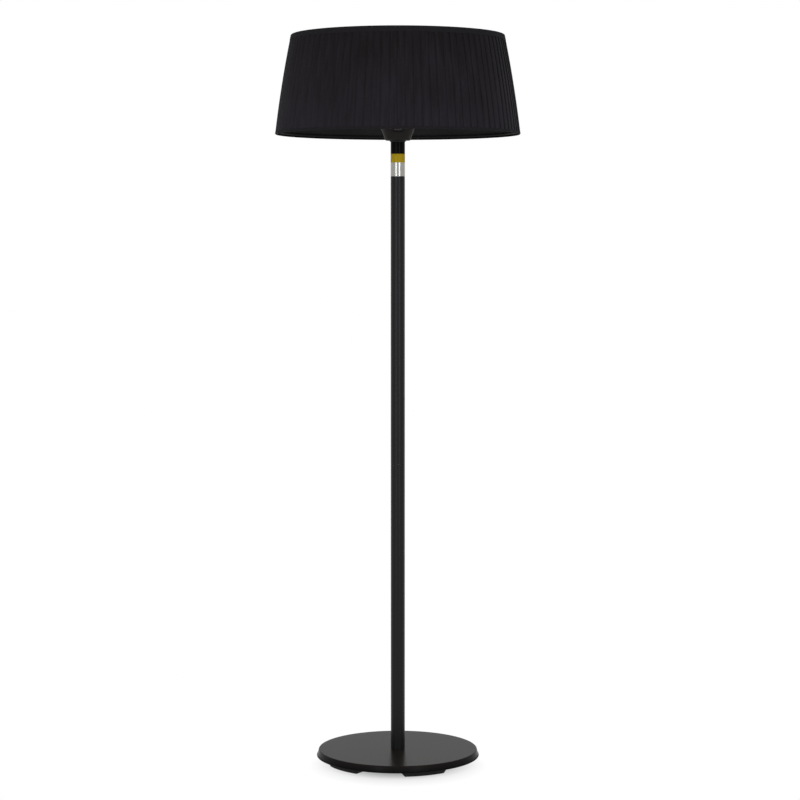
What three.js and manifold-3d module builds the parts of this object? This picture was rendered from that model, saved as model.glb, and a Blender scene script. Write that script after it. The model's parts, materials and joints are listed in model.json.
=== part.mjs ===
// A free-standing infrared patio heater shaped like a floor lamp, in millimetres, +Z up.
// The origin is on the floor at the middle of the base, and the front looks along -Y.
//
// The base is a pressed cover over a cast ballast disc, on a tray with five feet. A hollow threaded
// nipple ties the base to a pole of two sections, and the head stem carries everything above: a funnel
// collar with the mains switch, a reflector with three quartz lamps behind a welded wire guard, a vented
// housing over them, and a pleated shade that hangs from a four-armed spider under one finial nut.

import * as THREE from 'three';
import { mergeVertices } from 'three/addons/utils/BufferGeometryUtils.js';
import Module from 'manifold-3d';

// ---------------------------------------------------------------- driving dimensions

const SEAT_GAP = 0.3; // between pieces that rest on or in each other

// Base
const FOOT_COUNT = 5;
const FOOT_HEIGHT = 13.2;
const FOOT_OUTER_RADIUS = 182;
const FOOT_DEPTH = 30; // from the outer to the inner face of a foot
const FOOT_HALF_ANGLE = 20.5; // degrees, at the tray
const FOOT_END_SLANT = 4; // degrees that each end draws in towards the floor
const FOOT_PHASE = 22; // degrees from the front to the middle of the first foot
const TRAY_RADIUS = 202;
const TRAY_THICKNESS = 2.2;
const TRAY_RIB_HEIGHT = 2;
const TRAY_RIB_WIDTH = 3;
const TRAY_RIB_LENGTH = 110;
const TRAY_RIB_INSET = 20; // from the tray's edge to the end of a rib
const TRAY_BORE_CLEARANCE = 2; // round the washer
const BALLAST_THICKNESS = 11.7;
const BALLAST_CLEARANCE = 1; // to the cover's skirt
const BALLAST_CHAMFER = 1.5;
const COVER_WALL = 2;
const COVER_SKIRT_FLARE = 4; // how far the skirt spreads from the top to the tray
const COVER_SETBACK = 1; // from the tray's edge to the foot of the skirt
const COVER_EDGE_RADIUS = 2.6; // the rounded edge of the cover's top

// Pole and the nipple that ties it to the base
const POLE_RADIUS = 17.5;
const POLE_WALL = 1.5;
const POLE_SECTION_LENGTH = 710;
const JOINER_LENGTH = 62;
const JOINER_BORE = 9;
const NIPPLE_RADIUS = 8;
const NIPPLE_BORE = 5.6;
const NIPPLE_REACH = 26; // into the plug in the foot of the pole
const FOOT_PLUG_LENGTH = 28;
const WASHER_RADIUS = 22;
const WASHER_THICKNESS = 2.4;
const NUT_ACROSS_FLATS = 24;
const NUT_HEIGHT = 7.4;
const FLEX_RADIUS = 3.5;
const FLEX_BEND_RADIUS = 28;
const GLAND_FLANGE_RADIUS = 9;
const GLAND_FLANGE_THICKNESS = 2.6;
const GLAND_CHAMFER = 1;
const GLAND_DEPTH = 8; // inside the nipple

// Collar, with the switch in its front
const STEM_SHOWN = 87.6; // bare stem between the pole and the collar
const STEM_WINDOW_WIDTH = 14; // at the back, where the flex leaves the stem
const STEM_WINDOW_HEIGHT = 32;
const STEM_WINDOW_DROP = 2; // below the reflector's ceiling
const SEAL_HEIGHT = 5.2;
const SEAL_RADIUS = 21.6;
const SEAL_LIP = 1; // its thickness where it meets the stem
const COLLAR_BOTTOM_RADIUS = 31.5;
const COLLAR_TOP_RADIUS = 48.8;
const COLLAR_HEIGHT = 49.6;
const COLLAR_EDGE = 2.6; // the chamfer round its underside
const COLLAR_WALL = 2.2;
const COLLAR_BOSS_HEIGHT = 12;
const COLLAR_BOSS_WALL = 3.4;
const SWITCH_HEIGHT_ON_COLLAR = 33; // from the collar's underside to the middle of the switch
const SWITCH_WIDTH = 27; // over the bezel
const SWITCH_LENGTH = 32;
const SWITCH_RIM = 1; // how far the bezel's face stands off the collar
const SWITCH_BEZEL_DEPTH = 6; // from the face to the bezel's deepest corners
const SWITCH_BODY_DEPTH = 15;
const SWITCH_FLOOR = 1.5;
const SWITCH_BODY_WALL = 2.2; // beside and past the ends of the rocker
const ROCKER_WIDTH = 19;
const ROCKER_RADIUS = 12; // from the pivot to the rocker's ends
const ROCKER_SHOULDER = 26; // degrees from the pivot's level up to the rocker's raised corners
const ROCKER_DRUM_RADIUS = 7.2; // below the pivot
const ROCKER_PIVOT_DEPTH = 4;
const ROCKER_PIN_RADIUS = 1.5;
const ROCKER_PIN_REACH = 1.7; // past each side of the rocker
const ROCKER_TILT = 9; // degrees either side of level

// Reflector, lamps and guard
const REFLECTOR_WALL = 1.2;
const REFLECTOR_INNER_RADIUS = 46;
const REFLECTOR_DEPTH = 57.6; // from the inner flange to the flat ceiling
const CEILING_INNER_RADIUS = 98;
const CEILING_OUTER_RADIUS = 178;
const REFLECTOR_FLANGE = 14; // width of the flange round the collar
const REFLECTOR_BEND = 4; // the size of each bend in the sheet
const HOUSING_RADIUS = 220.5;
const HOUSING_WALL = 1.2;
const HOUSING_HEIGHT = 118;
const HOUSING_LIP = 7.5;
const HOUSING_SKIRT = 46;
const CROWN_FLAT_RADIUS = 40;
const CROWN_STEPS = 6;
const VENT_COUNT = 16;
const VENT_WIDTH = 5;
const VENT_LENGTH = 34;
const VENT_RADIUS = 140;
const LAMP_COUNT = 3;
const LAMP_TUBE_RADIUS = 5.5;
const LAMP_LENGTH = 210;
const LAMP_RING_RADIUS = 118; // from the axis to the middle of each lamp
const LAMP_DROP = 28; // below the reflector's ceiling
const CAP_RADIUS = 7;
const CAP_LENGTH = 25;
const CAP_OVERLAP = 8; // of the cap over the end of the tube
const BRACKET_THICKNESS = 1.8;
const BRACKET_WIDTH = 15;
const BRACKET_EAR_WIDTH = 20;
const BRACKET_EAR_INSET = 10; // from the cap's outer end to its ear
const BRACKET_EAR_RIM = 3; // below the cap
const GUARD_WIRE_RADIUS = 1.5;
const GUARD_RINGS = 5;
const GUARD_SPOKES = 12;
const GUARD_INNER_RADIUS = 54;
const GUARD_WELD = 0.6; // how deep crossing wires are fused
const CLIP_COUNT = 3;
const CLIP_WIDTH = 14;
const CLIP_THICKNESS = 1.5;
const CLIP_HEIGHT = 16;
const CLIP_HOOK = 1; // how far it reaches past the inner side of the guard's ring

// What the housing holds
const TERMINAL_SIZE = [42, 20, 18];
const TERMINAL_REACH = 100; // from the axis to the face where the flex enters
const CONTROL_SIZE = [46, 78, 26];
const TILT_SWITCH_SIZE = [26, 26, 30];
const MODULE_REACH = 112; // from the axis to the inner face of the side modules
const CUTOUT_RADIUS = 8;
const CUTOUT_HEIGHT = 9;
const MODULE_FOOT = 1.8; // thickness of the tabs that the modules stand on
const MODULE_TAB = 10; // how far a tab reaches past its module
const LID_INSET = 3;
const LID_HEIGHT = 4;
const TERMINAL_WELLS = 3;
const TERMINAL_WELL_RADIUS = 3;
const TERMINAL_WELL_DEPTH = 5;

// Shade and what carries it
const PLUG_FLANGE_RADIUS = 26;
const PLUG_FLANGE_THICKNESS = 5;
const PLUG_DEPTH = 18;
const STUD_RADIUS = 5;
const HUB_RADIUS = 28;
const HUB_THICKNESS = 4;
const HUB_BOSS_RADIUS = 12;
const ARM_COUNT = 4;
const ARM_RADIUS = 2.5;
const ARM_LEVEL_REACH = 60; // where an arm starts to rise
const ARM_BEND = 6; // half the length of the bend there
const ARM_RISE = 73.5;
const FINIAL_RADIUS = 15;
const FINIAL_HEIGHT = 24;
const FINIAL_CROWN = 4; // solid above the blind hole for the stud
const FINIAL_FLUTES = 8;
const FINIAL_FLUTE_DEPTH = 1.6;
const FINIAL_CHAMFER = 1;
const SHADE_HEIGHT = 241;
const SHADE_TOP_RADIUS = 261.2;
const SHADE_BOTTOM_RADIUS = 300.5;
const SHADE_BULGE = 2.5; // how far the sides swell past a straight line
const PLEAT_COUNT = 92;
const PLEAT_DEPTH = 2.6;
const PLEAT_STEP_SHARE = 0.06; // of a pleat's width that its step takes
const CLOTH_THICKNESS = 0.9;
const LINER_WALL = 1.2;
const TOP_HEM_HEIGHT = 14;
const BOTTOM_HEM_HEIGHT = 6;
const HEM_WALL = 1;
const HEM_LEG = 3.3; // how far the channel's inner leg reaches from the rim
const HEM_EDGE = 2.2; // radius of the fold where the tape goes over the rim
const RING_RADIUS = 2.5; // of the wire
const RING_SETBACK = 7; // from the shade's rims to the middle of each ring

// Facets
const ROUND = 48;
const POLE_SIDES = 32;
const SMALL_ROUND = 20;
const SHADE_SIDES = PLEAT_COUNT / 2;
const HEAD_SIDES = VENT_COUNT * 2;
const COVER_EDGE_STEPS = 3;
const HEM_EDGE_STEPS = 2;
const FLEX_BEND_STEPS = 6;
const LAMP_SIDES = 12;

// ---------------------------------------------------------------- places worked out from them

const COVER_FOOT_RADIUS = TRAY_RADIUS - COVER_SETBACK;
const COVER_TOP_RADIUS = COVER_FOOT_RADIUS - COVER_SKIRT_FLARE;
const TRAY_Z = FOOT_HEIGHT + SEAT_GAP;
const BALLAST_Z = TRAY_Z + TRAY_THICKNESS + SEAT_GAP;
const COVER_UNDERSIDE_Z = BALLAST_Z + BALLAST_THICKNESS + SEAT_GAP;
const BASE_TOP_Z = COVER_UNDERSIDE_Z + COVER_WALL;
const WASHER_Z = BALLAST_Z - SEAT_GAP - WASHER_THICKNESS;
const NUT_Z = WASHER_Z - SEAT_GAP - NUT_HEIGHT;
const GLAND_Z = NUT_Z - SEAT_GAP - GLAND_FLANGE_THICKNESS;
const NIPPLE_Z = NUT_Z;
const POLE_BORE = POLE_RADIUS - POLE_WALL;
const LOWER_POLE_Z = BASE_TOP_Z + SEAT_GAP;
const UPPER_POLE_Z = LOWER_POLE_Z + POLE_SECTION_LENGTH + SEAT_GAP;
const STEM_Z = UPPER_POLE_Z + POLE_SECTION_LENGTH + SEAT_GAP;
const HEAD_Z = STEM_Z + STEM_SHOWN;

// Heights in the head are above the collar's underside.
const COLLAR_SLOPE = (COLLAR_TOP_RADIUS - COLLAR_BOTTOM_RADIUS) / (COLLAR_HEIGHT - COLLAR_EDGE);
const COLLAR_ANGLE = Math.atan(COLLAR_SLOPE);
const REFLECTOR_Z = COLLAR_HEIGHT + SEAT_GAP;
const CEILING_Z = REFLECTOR_Z + REFLECTOR_DEPTH;
const SHELF_Z = CEILING_Z + REFLECTOR_WALL + SEAT_GAP;
const GUARD_Z = REFLECTOR_Z - SEAT_GAP - GUARD_WIRE_RADIUS;
const GUARD_OUTER_RADIUS = HOUSING_RADIUS - HOUSING_LIP + GUARD_WIRE_RADIUS;
const HOUSING_TOP_Z = REFLECTOR_Z + HOUSING_HEIGHT;
const FLANGE_TOP_Z = HOUSING_TOP_Z - HOUSING_WALL - SEAT_GAP;
const STEM_TOP_Z = FLANGE_TOP_Z - PLUG_FLANGE_THICKNESS - SEAT_GAP;
const LAMP_Z = CEILING_Z - LAMP_DROP;
const HUB_Z = HOUSING_TOP_Z + SEAT_GAP;
const ARM_Z = HUB_Z + HUB_THICKNESS + SEAT_GAP + ARM_RADIUS;
const FINIAL_Z = ARM_Z + ARM_RADIUS + 2 * SEAT_GAP;
const TOP_RING_Z = ARM_Z + ARM_RISE;

const SHADE_TOP_Z = HEAD_Z + TOP_RING_Z + RING_SETBACK;
const SHADE_Z = SHADE_TOP_Z - SHADE_HEIGHT;
const LINER_INSET = PLEAT_DEPTH + CLOTH_THICKNESS + 2 * SEAT_GAP; // from the pleats' folds to the liner

// ---------------------------------------------------------------- making and joining solids

const wasm = await Module();
wasm.setup();

const radians = (degrees) => (degrees * Math.PI) / 180;

// A closed geometry as a solid that can be joined and cut.
function toSolid(geometry) {
  const bare = geometry.index ? geometry.toNonIndexed() : geometry.clone();
  const positions = new THREE.BufferGeometry();
  positions.setAttribute('position', bare.getAttribute('position'));
  const merged = mergeVertices(positions, 1e-4);
  return new wasm.Manifold(
    new wasm.Mesh({
      numProp: 3,
      vertProperties: merged.attributes.position.array,
      triVerts: new Uint32Array(merged.index.array),
    }),
  );
}

function toGeometry(solid) {
  const mesh = solid.getMesh();
  const positions = new Float32Array(mesh.numVert * 3);
  for (let i = 0; i < mesh.numVert; i++) {
    positions.set(mesh.vertProperties.subarray(i * mesh.numProp, i * mesh.numProp + 3), i * 3);
  }
  const geometry = new THREE.BufferGeometry();
  geometry.setAttribute('position', new THREE.BufferAttribute(positions, 3));
  geometry.setIndex(new THREE.BufferAttribute(mesh.triVerts, 1));
  return geometry;
}

const join = (...geometries) =>
  toGeometry(geometries.map(toSolid).reduce((sum, next) => sum.add(next)));

const cut = (body, ...tools) =>
  toGeometry(tools.map(toSolid).reduce((rest, tool) => rest.subtract(tool), toSolid(body)));

// A closed outline of [radius, height] pairs, turned about the Z axis. Angle 0 is the front.
function revolve(outline, sides = ROUND) {
  const area = outline.reduce((sum, [r, z], i) => {
    const [nextR, nextZ] = outline[(i + 1) % outline.length];
    return sum + r * nextZ - nextR * z;
  }, 0);
  const ordered = area > 0 ? outline : [...outline].reverse();
  const points = [...ordered, ordered[0]].map(([r, z]) => new THREE.Vector2(r, z));
  return new THREE.LatheGeometry(points, sides).rotateX(Math.PI / 2);
}

const ring = (inner, outer, low, high, sides = ROUND) =>
  revolve([[inner, low], [outer, low], [outer, high], [inner, high]], sides);

const cylinder = (radius, length, sides = SMALL_ROUND) =>
  new THREE.CylinderGeometry(radius, radius, length, sides).rotateX(Math.PI / 2);

const box = (width, depth, height, x = 0, y = 0, z = 0) =>
  new THREE.BoxGeometry(width, depth, height).translate(x, y, z);

// The outline of a sheet that follows a path of [radius, height] pairs, its wall on the path's left.
function sheetOutline(path, wall) {
  const points = path.map(([r, z]) => new THREE.Vector2(r, z));
  const normals = points.slice(1).map((point, i) => {
    const along = point.clone().sub(points[i]).normalize();
    return new THREE.Vector2(-along.y, along.x);
  });
  const offset = points.map((point, i) => {
    const before = normals[Math.max(i - 1, 0)];
    const after = normals[Math.min(i, normals.length - 1)];
    const mitre = before.clone().add(after).normalize();
    return point.clone().addScaledVector(mitre, wall / mitre.dot(after));
  });
  return [...points, ...offset.reverse()].map(({ x, y }) => [x, y]);
}

const pressedSheet = (path, wall, sides) => revolve(sheetOutline(path, wall), sides);

// Points on an arc between two directions, for rounded edges in an outline.
function arcPoints(centreR, centreZ, radius, fromDegrees, toDegrees, steps) {
  return Array.from({ length: steps + 1 }, (_, i) => {
    const angle = radians(fromDegrees + ((toDegrees - fromDegrees) * i) / steps);
    return [centreR + radius * Math.cos(angle), centreZ + radius * Math.sin(angle)];
  });
}

// A solid through a row of like loops of points, closed by a fan at each end.
function loft(loops) {
  const size = loops[0].length;
  const positions = loops.flat().flatMap((point) => [point.x, point.y, point.z]);
  const faces = [];
  for (let row = 0; row < loops.length - 1; row++) {
    for (let i = 0; i < size; i++) {
      const a = row * size + i;
      const b = row * size + ((i + 1) % size);
      faces.push(a, b, b + size, a, b + size, a + size);
    }
  }
  const last = (loops.length - 1) * size;
  for (let i = 1; i < size - 1; i++) {
    faces.push(0, i + 1, i);
    faces.push(last, last + i, last + i + 1);
  }
  const geometry = new THREE.BufferGeometry();
  geometry.setAttribute('position', new THREE.Float32BufferAttribute(positions, 3));
  geometry.setIndex(faces);
  return geometry;
}

// A round rod or flex that runs through a row of points, with one step of the sweep for each.
function rod(points, radius, sides) {
  const section = new THREE.Shape(
    Array.from({ length: sides }, (_, i) => {
      const angle = (2 * Math.PI * i) / sides;
      return new THREE.Vector2(radius * Math.cos(angle), radius * Math.sin(angle));
    }),
  );
  const route = new THREE.CatmullRomCurve3(points);
  route.arcLengthDivisions = 1;
  return new THREE.ExtrudeGeometry(section, {
    steps: points.length - 1,
    extrudePath: route,
    bevelEnabled: false,
  });
}

// ---------------------------------------------------------------- materials

const finish = (color, roughness, metalness) =>
  new THREE.MeshStandardMaterial({ color, roughness, metalness });

const powderCoat = finish(0x262422, 0.5, 0.1);
const satinBlack = finish(0x1d1b1a, 0.55, 0.0);
const castIron = finish(0x3a3a3c, 0.8, 0.6);
const rubber = finish(0x141414, 0.85, 0.0);
const zincSteel = finish(0xb8bcc0, 0.35, 0.9);
const mirrorAluminium = finish(0xd9dade, 0.15, 1.0);
const quartz = finish(0x8c2f12, 0.1, 0.0);
const ceramic = finish(0xe6e0d2, 0.6, 0.0);
const switchPlastic = finish(0x161616, 0.3, 0.0);
const modulePlastic = finish(0xcfcac0, 0.5, 0.0);
const shadeCloth = finish(0x211f20, 0.9, 0.0);
const shadeLiner = finish(0x1a1918, 0.7, 0.0);
const flexSheath = finish(0x111111, 0.6, 0.0);

function piece(name, geometry, material) {
  const mesh = new THREE.Mesh(geometry, material);
  mesh.name = name;
  return mesh;
}

// ---------------------------------------------------------------- base

// A foot is a sector of a ring whose ends slant in towards the floor.
function footGeometry() {
  const stations = 7;
  const inner = FOOT_OUTER_RADIUS - FOOT_DEPTH;
  const at = (radius, degrees, z) =>
    new THREE.Vector3(radius * Math.sin(radians(degrees)), -radius * Math.cos(radians(degrees)), z);
  const loops = Array.from({ length: stations }, (_, i) => {
    const share = (2 * i) / (stations - 1) - 1;
    const top = share * FOOT_HALF_ANGLE;
    const bottom = share * (FOOT_HALF_ANGLE - FOOT_END_SLANT);
    return [
      at(inner, bottom, 0),
      at(inner, top, FOOT_HEIGHT),
      at(FOOT_OUTER_RADIUS, top, FOOT_HEIGHT),
      at(FOOT_OUTER_RADIUS, bottom, 0),
    ];
  });
  return loft(loops);
}

function feet() {
  return Array.from({ length: FOOT_COUNT }, (_, i) => {
    const foot = piece(`foot_pad_${i + 1}`, footGeometry(), rubber);
    foot.rotation.z = radians(FOOT_PHASE + (360 * i) / FOOT_COUNT);
    return foot;
  });
}

// The tray closes the base from below. Its ribs run between the feet, towards the rim.
function baseTray() {
  const bore = WASHER_RADIUS + TRAY_BORE_CLEARANCE;
  const plate = ring(bore, TRAY_RADIUS, TRAY_Z, TRAY_Z + TRAY_THICKNESS);
  const ribHeight = TRAY_RIB_HEIGHT + TRAY_THICKNESS / 2;
  const ribMiddle = TRAY_RADIUS - TRAY_RIB_INSET - TRAY_RIB_LENGTH / 2;
  const ribZ = TRAY_Z - TRAY_RIB_HEIGHT + ribHeight / 2;
  const ribs = Array.from({ length: FOOT_COUNT }, (_, i) =>
    box(TRAY_RIB_WIDTH, TRAY_RIB_LENGTH, ribHeight, 0, -ribMiddle, ribZ)
      .rotateZ(radians(FOOT_PHASE + (360 * (i + 0.5)) / FOOT_COUNT)),
  );
  return piece('base_tray', join(plate, ...ribs), satinBlack);
}

function ballastDisc() {
  const bore = NIPPLE_RADIUS + SEAT_GAP;
  const radius = COVER_TOP_RADIUS - COVER_WALL - BALLAST_CLEARANCE;
  const top = BALLAST_Z + BALLAST_THICKNESS;
  const outline = [
    [bore, BALLAST_Z],
    [radius, BALLAST_Z],
    [radius, top - BALLAST_CHAMFER],
    [radius - BALLAST_CHAMFER, top],
    [bore, top],
  ];
  return piece('ballast_disc', revolve(outline), castIron);
}

// The cover is one pressing: a flat top, a rounded edge and a skirt that flares down to the tray.
function baseCover() {
  const bore = NIPPLE_RADIUS + SEAT_GAP;
  const skirtHeight = BASE_TOP_Z - BALLAST_Z;
  const skirtLean = (Math.atan(COVER_SKIRT_FLARE / skirtHeight) * 180) / Math.PI;
  const edge = arcPoints(
    COVER_TOP_RADIUS - COVER_EDGE_RADIUS,
    BASE_TOP_Z - COVER_EDGE_RADIUS,
    COVER_EDGE_RADIUS,
    skirtLean,
    90,
    COVER_EDGE_STEPS,
  );
  const outline = [
    [COVER_FOOT_RADIUS, BALLAST_Z],
    ...edge,
    [bore, BASE_TOP_Z],
    [bore, COVER_UNDERSIDE_Z],
    [COVER_TOP_RADIUS - COVER_WALL, COVER_UNDERSIDE_Z],
    [COVER_FOOT_RADIUS - COVER_WALL, BALLAST_Z],
  ];
  return piece('base_cover', revolve(outline), powderCoat);
}

// A rubber bush in the foot of the nipple, where the supply cord goes in.
function cordGland() {
  const flangeTop = GLAND_Z + GLAND_FLANGE_THICKNESS;
  const outline = [
    [FLEX_RADIUS + SEAT_GAP, GLAND_Z],
    [GLAND_FLANGE_RADIUS - GLAND_CHAMFER, GLAND_Z],
    [GLAND_FLANGE_RADIUS, GLAND_Z + GLAND_CHAMFER],
    [GLAND_FLANGE_RADIUS, flangeTop],
    [NIPPLE_BORE - SEAT_GAP, flangeTop],
    [NIPPLE_BORE - SEAT_GAP, flangeTop + GLAND_DEPTH],
    [FLEX_RADIUS + SEAT_GAP, flangeTop + GLAND_DEPTH],
  ];
  return piece('cord_gland', revolve(outline, SMALL_ROUND), rubber);
}

// The hollow nipple passes the flex and pulls the pole down on the base, through nut and washer.
function poleFixing() {
  const clear = NIPPLE_RADIUS + SEAT_GAP;
  const nutRadius = NUT_ACROSS_FLATS / 2 / Math.cos(Math.PI / 6);
  const nut = cut(
    cylinder(nutRadius, NUT_HEIGHT, 6).translate(0, 0, NUT_Z + NUT_HEIGHT / 2),
    cylinder(clear, 2 * NUT_HEIGHT).translate(0, 0, NUT_Z + NUT_HEIGHT / 2),
  );
  const nippleTop = LOWER_POLE_Z + NIPPLE_REACH;
  const plugTop = LOWER_POLE_Z + FOOT_PLUG_LENGTH;
  const nipple = ring(NIPPLE_BORE, NIPPLE_RADIUS, NIPPLE_Z, nippleTop, SMALL_ROUND);
  const washer = ring(clear, WASHER_RADIUS, WASHER_Z, WASHER_Z + WASHER_THICKNESS, POLE_SIDES);
  const plug = ring(clear, POLE_BORE - SEAT_GAP, LOWER_POLE_Z, plugTop, SMALL_ROUND);
  return [
    piece('threaded_nipple', nipple, zincSteel),
    piece('nipple_nut', nut, zincSteel),
    piece('nipple_washer', washer, zincSteel),
    piece('pole_foot_plug', plug, zincSteel),
  ];
}

// ---------------------------------------------------------------- pole

const poleTube = (low, high) => ring(POLE_BORE, POLE_RADIUS, low, high, POLE_SIDES);

function joiner(name, seamZ) {
  const outline = ring(
    JOINER_BORE,
    POLE_BORE - SEAT_GAP,
    seamZ - JOINER_LENGTH / 2,
    seamZ + JOINER_LENGTH / 2,
    SMALL_ROUND,
  );
  return piece(name, outline, zincSteel);
}

function poleSections() {
  return [
    piece('pole_lower', poleTube(LOWER_POLE_Z, LOWER_POLE_Z + POLE_SECTION_LENGTH), powderCoat),
    piece('pole_upper', poleTube(UPPER_POLE_Z, UPPER_POLE_Z + POLE_SECTION_LENGTH), powderCoat),
    joiner('pole_joiner_lower', UPPER_POLE_Z - SEAT_GAP / 2),
    joiner('pole_joiner_upper', STEM_Z - SEAT_GAP / 2),
  ];
}

// The stem has a window at the back, where the flex leaves it for the terminal block.
function headStem() {
  const tube = poleTube(STEM_Z, HEAD_Z + STEM_TOP_Z);
  const windowZ = HEAD_Z + CEILING_Z - STEM_WINDOW_DROP + STEM_WINDOW_HEIGHT / 2;
  const window = box(STEM_WINDOW_WIDTH, POLE_RADIUS, STEM_WINDOW_HEIGHT, 0, POLE_RADIUS, windowZ);
  return piece('head_stem', cut(tube, window), powderCoat);
}

// The flex runs up the middle of the pole, then bends back to the terminal block.
function internalFlex() {
  const entryZ = HEAD_Z + SHELF_Z + TERMINAL_SIZE[2] / 2;
  const bend = Array.from({ length: FLEX_BEND_STEPS + 1 }, (_, i) => {
    const angle = radians((90 * i) / FLEX_BEND_STEPS);
    const back = FLEX_BEND_RADIUS * (1 - Math.cos(angle));
    const up = FLEX_BEND_RADIUS * Math.sin(angle);
    return new THREE.Vector3(0, back, entryZ - FLEX_BEND_RADIUS + up);
  });
  const points = [
    new THREE.Vector3(0, 0, GLAND_Z),
    ...bend,
    new THREE.Vector3(0, TERMINAL_REACH - SEAT_GAP, entryZ),
  ];
  return piece('internal_flex', rod(points, FLEX_RADIUS, 10), flexSheath);
}

// ---------------------------------------------------------------- collar and switch

function collarSeal() {
  const top = HEAD_Z - SEAT_GAP;
  const outline = [
    [POLE_RADIUS + SEAT_GAP, top - SEAL_HEIGHT],
    [POLE_RADIUS + SEAT_GAP + SEAL_LIP, top - SEAL_HEIGHT],
    [SEAL_RADIUS, top - SEAL_LIP],
    [SEAL_RADIUS, top],
    [POLE_RADIUS + SEAT_GAP, top],
  ];
  return piece('collar_seal', revolve(outline, POLE_SIDES), rubber);
}

// The outer radius of the collar's cone at a height above its underside.
const collarRadius = (height) => COLLAR_BOTTOM_RADIUS + COLLAR_SLOPE * (height - COLLAR_EDGE);

// Places a geometry made in the switch's own frame, X right, Y up the collar and Z out of it.
const onCollar = (geometry) =>
  geometry
    .rotateX(Math.PI / 2 + COLLAR_ANGLE)
    .translate(0, -collarRadius(SWITCH_HEIGHT_ON_COLLAR), SWITCH_HEIGHT_ON_COLLAR);

const rockerRoom = [ROCKER_WIDTH + 2 * SEAT_GAP, 2 * (ROCKER_RADIUS + SEAT_GAP)];
const switchBodySize = rockerRoom.map((size) => size + 2 * SWITCH_BODY_WALL);

function collarHousing() {
  const wall = COLLAR_WALL;
  const bore = POLE_RADIUS + SEAT_GAP;
  const boss = bore + COLLAR_BOSS_WALL;
  const outline = [
    [bore, 0],
    [COLLAR_BOTTOM_RADIUS - COLLAR_EDGE, 0],
    [COLLAR_BOTTOM_RADIUS, COLLAR_EDGE],
    [COLLAR_TOP_RADIUS, COLLAR_HEIGHT],
    [COLLAR_TOP_RADIUS - wall, COLLAR_HEIGHT],
    [COLLAR_BOTTOM_RADIUS - wall, wall + COLLAR_EDGE / 2],
    [boss, wall],
    [boss, COLLAR_BOSS_HEIGHT],
    [bore, COLLAR_BOSS_HEIGHT],
  ];
  const [width, length] = switchBodySize.map((size) => size + 2 * SEAT_GAP);
  const window = onCollar(box(width, length, 2 * SWITCH_BEZEL_DEPTH));
  return piece('collar_housing', cut(revolve(outline, HEAD_SIDES), window), satinBlack);
}

// The switch body has a bezel that fits the cone, and a well where the rocker turns on its pins.
function switchBody() {
  const bezelZ = SWITCH_RIM - SWITCH_BEZEL_DEPTH / 2;
  const bezel = onCollar(box(SWITCH_WIDTH, SWITCH_LENGTH, SWITCH_BEZEL_DEPTH, 0, 0, bezelZ));
  const cone = new THREE.CylinderGeometry(
    collarRadius(1.5 * COLLAR_HEIGHT) + SEAT_GAP,
    collarRadius(-COLLAR_HEIGHT / 2) + SEAT_GAP,
    2 * COLLAR_HEIGHT,
    HEAD_SIDES,
  )
    .rotateX(Math.PI / 2)
    .translate(0, 0, COLLAR_HEIGHT / 2);
  const bodyDepth = SWITCH_BODY_DEPTH;
  const body = onCollar(box(...switchBodySize, bodyDepth, 0, 0, -bodyDepth / 2));
  const wellDepth = 2 * (SWITCH_BODY_DEPTH - SWITCH_FLOOR);
  const well = onCollar(box(...rockerRoom, wellDepth));
  const pinHoles = onCollar(rockerPins(SEAT_GAP).translate(0, 0, -ROCKER_PIVOT_DEPTH));
  return piece('switch_body', cut(join(cut(bezel, cone), body), well, pinHoles), switchPlastic);
}

// One bar through the rocker, grown by `clearance` for the holes that it turns in.
function rockerPins(clearance) {
  const radius = ROCKER_PIN_RADIUS + clearance;
  const length = ROCKER_WIDTH + 2 * (ROCKER_PIN_REACH + clearance);
  return cylinder(radius, length, 12).rotateY(Math.PI / 2);
}

// The rocker's profile is a shallow V over a drum that turns on two pins. Its pressed half is level.
function switchRocker() {
  const at = (degrees, radius) =>
    new THREE.Vector2(radius * Math.cos(radians(degrees)), radius * Math.sin(radians(degrees)));
  const corner = at(ROCKER_SHOULDER, ROCKER_RADIUS);
  const valley = corner.y - corner.x * Math.tan(radians(ROCKER_TILT));
  const shape = new THREE.Shape([
    at(0, ROCKER_RADIUS),
    corner,
    at(90, valley),
    at(180 - ROCKER_SHOULDER, ROCKER_RADIUS),
    at(180, ROCKER_RADIUS),
    at(200, ROCKER_RADIUS),
    at(240, ROCKER_DRUM_RADIUS),
    at(300, ROCKER_DRUM_RADIUS),
    at(340, ROCKER_RADIUS),
  ]);
  const drum = new THREE.ExtrudeGeometry(shape, { depth: ROCKER_WIDTH, bevelEnabled: false })
    .translate(0, 0, -ROCKER_WIDTH / 2)
    .rotateY(Math.PI / 2)
    .rotateX(Math.PI / 2);
  const rocker = join(drum, rockerPins(0))
    .rotateX(-radians(ROCKER_TILT))
    .translate(0, 0, -ROCKER_PIVOT_DEPTH);
  return piece('switch_rocker', onCollar(rocker), switchPlastic);
}

// ---------------------------------------------------------------- reflector, lamps and guard

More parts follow.
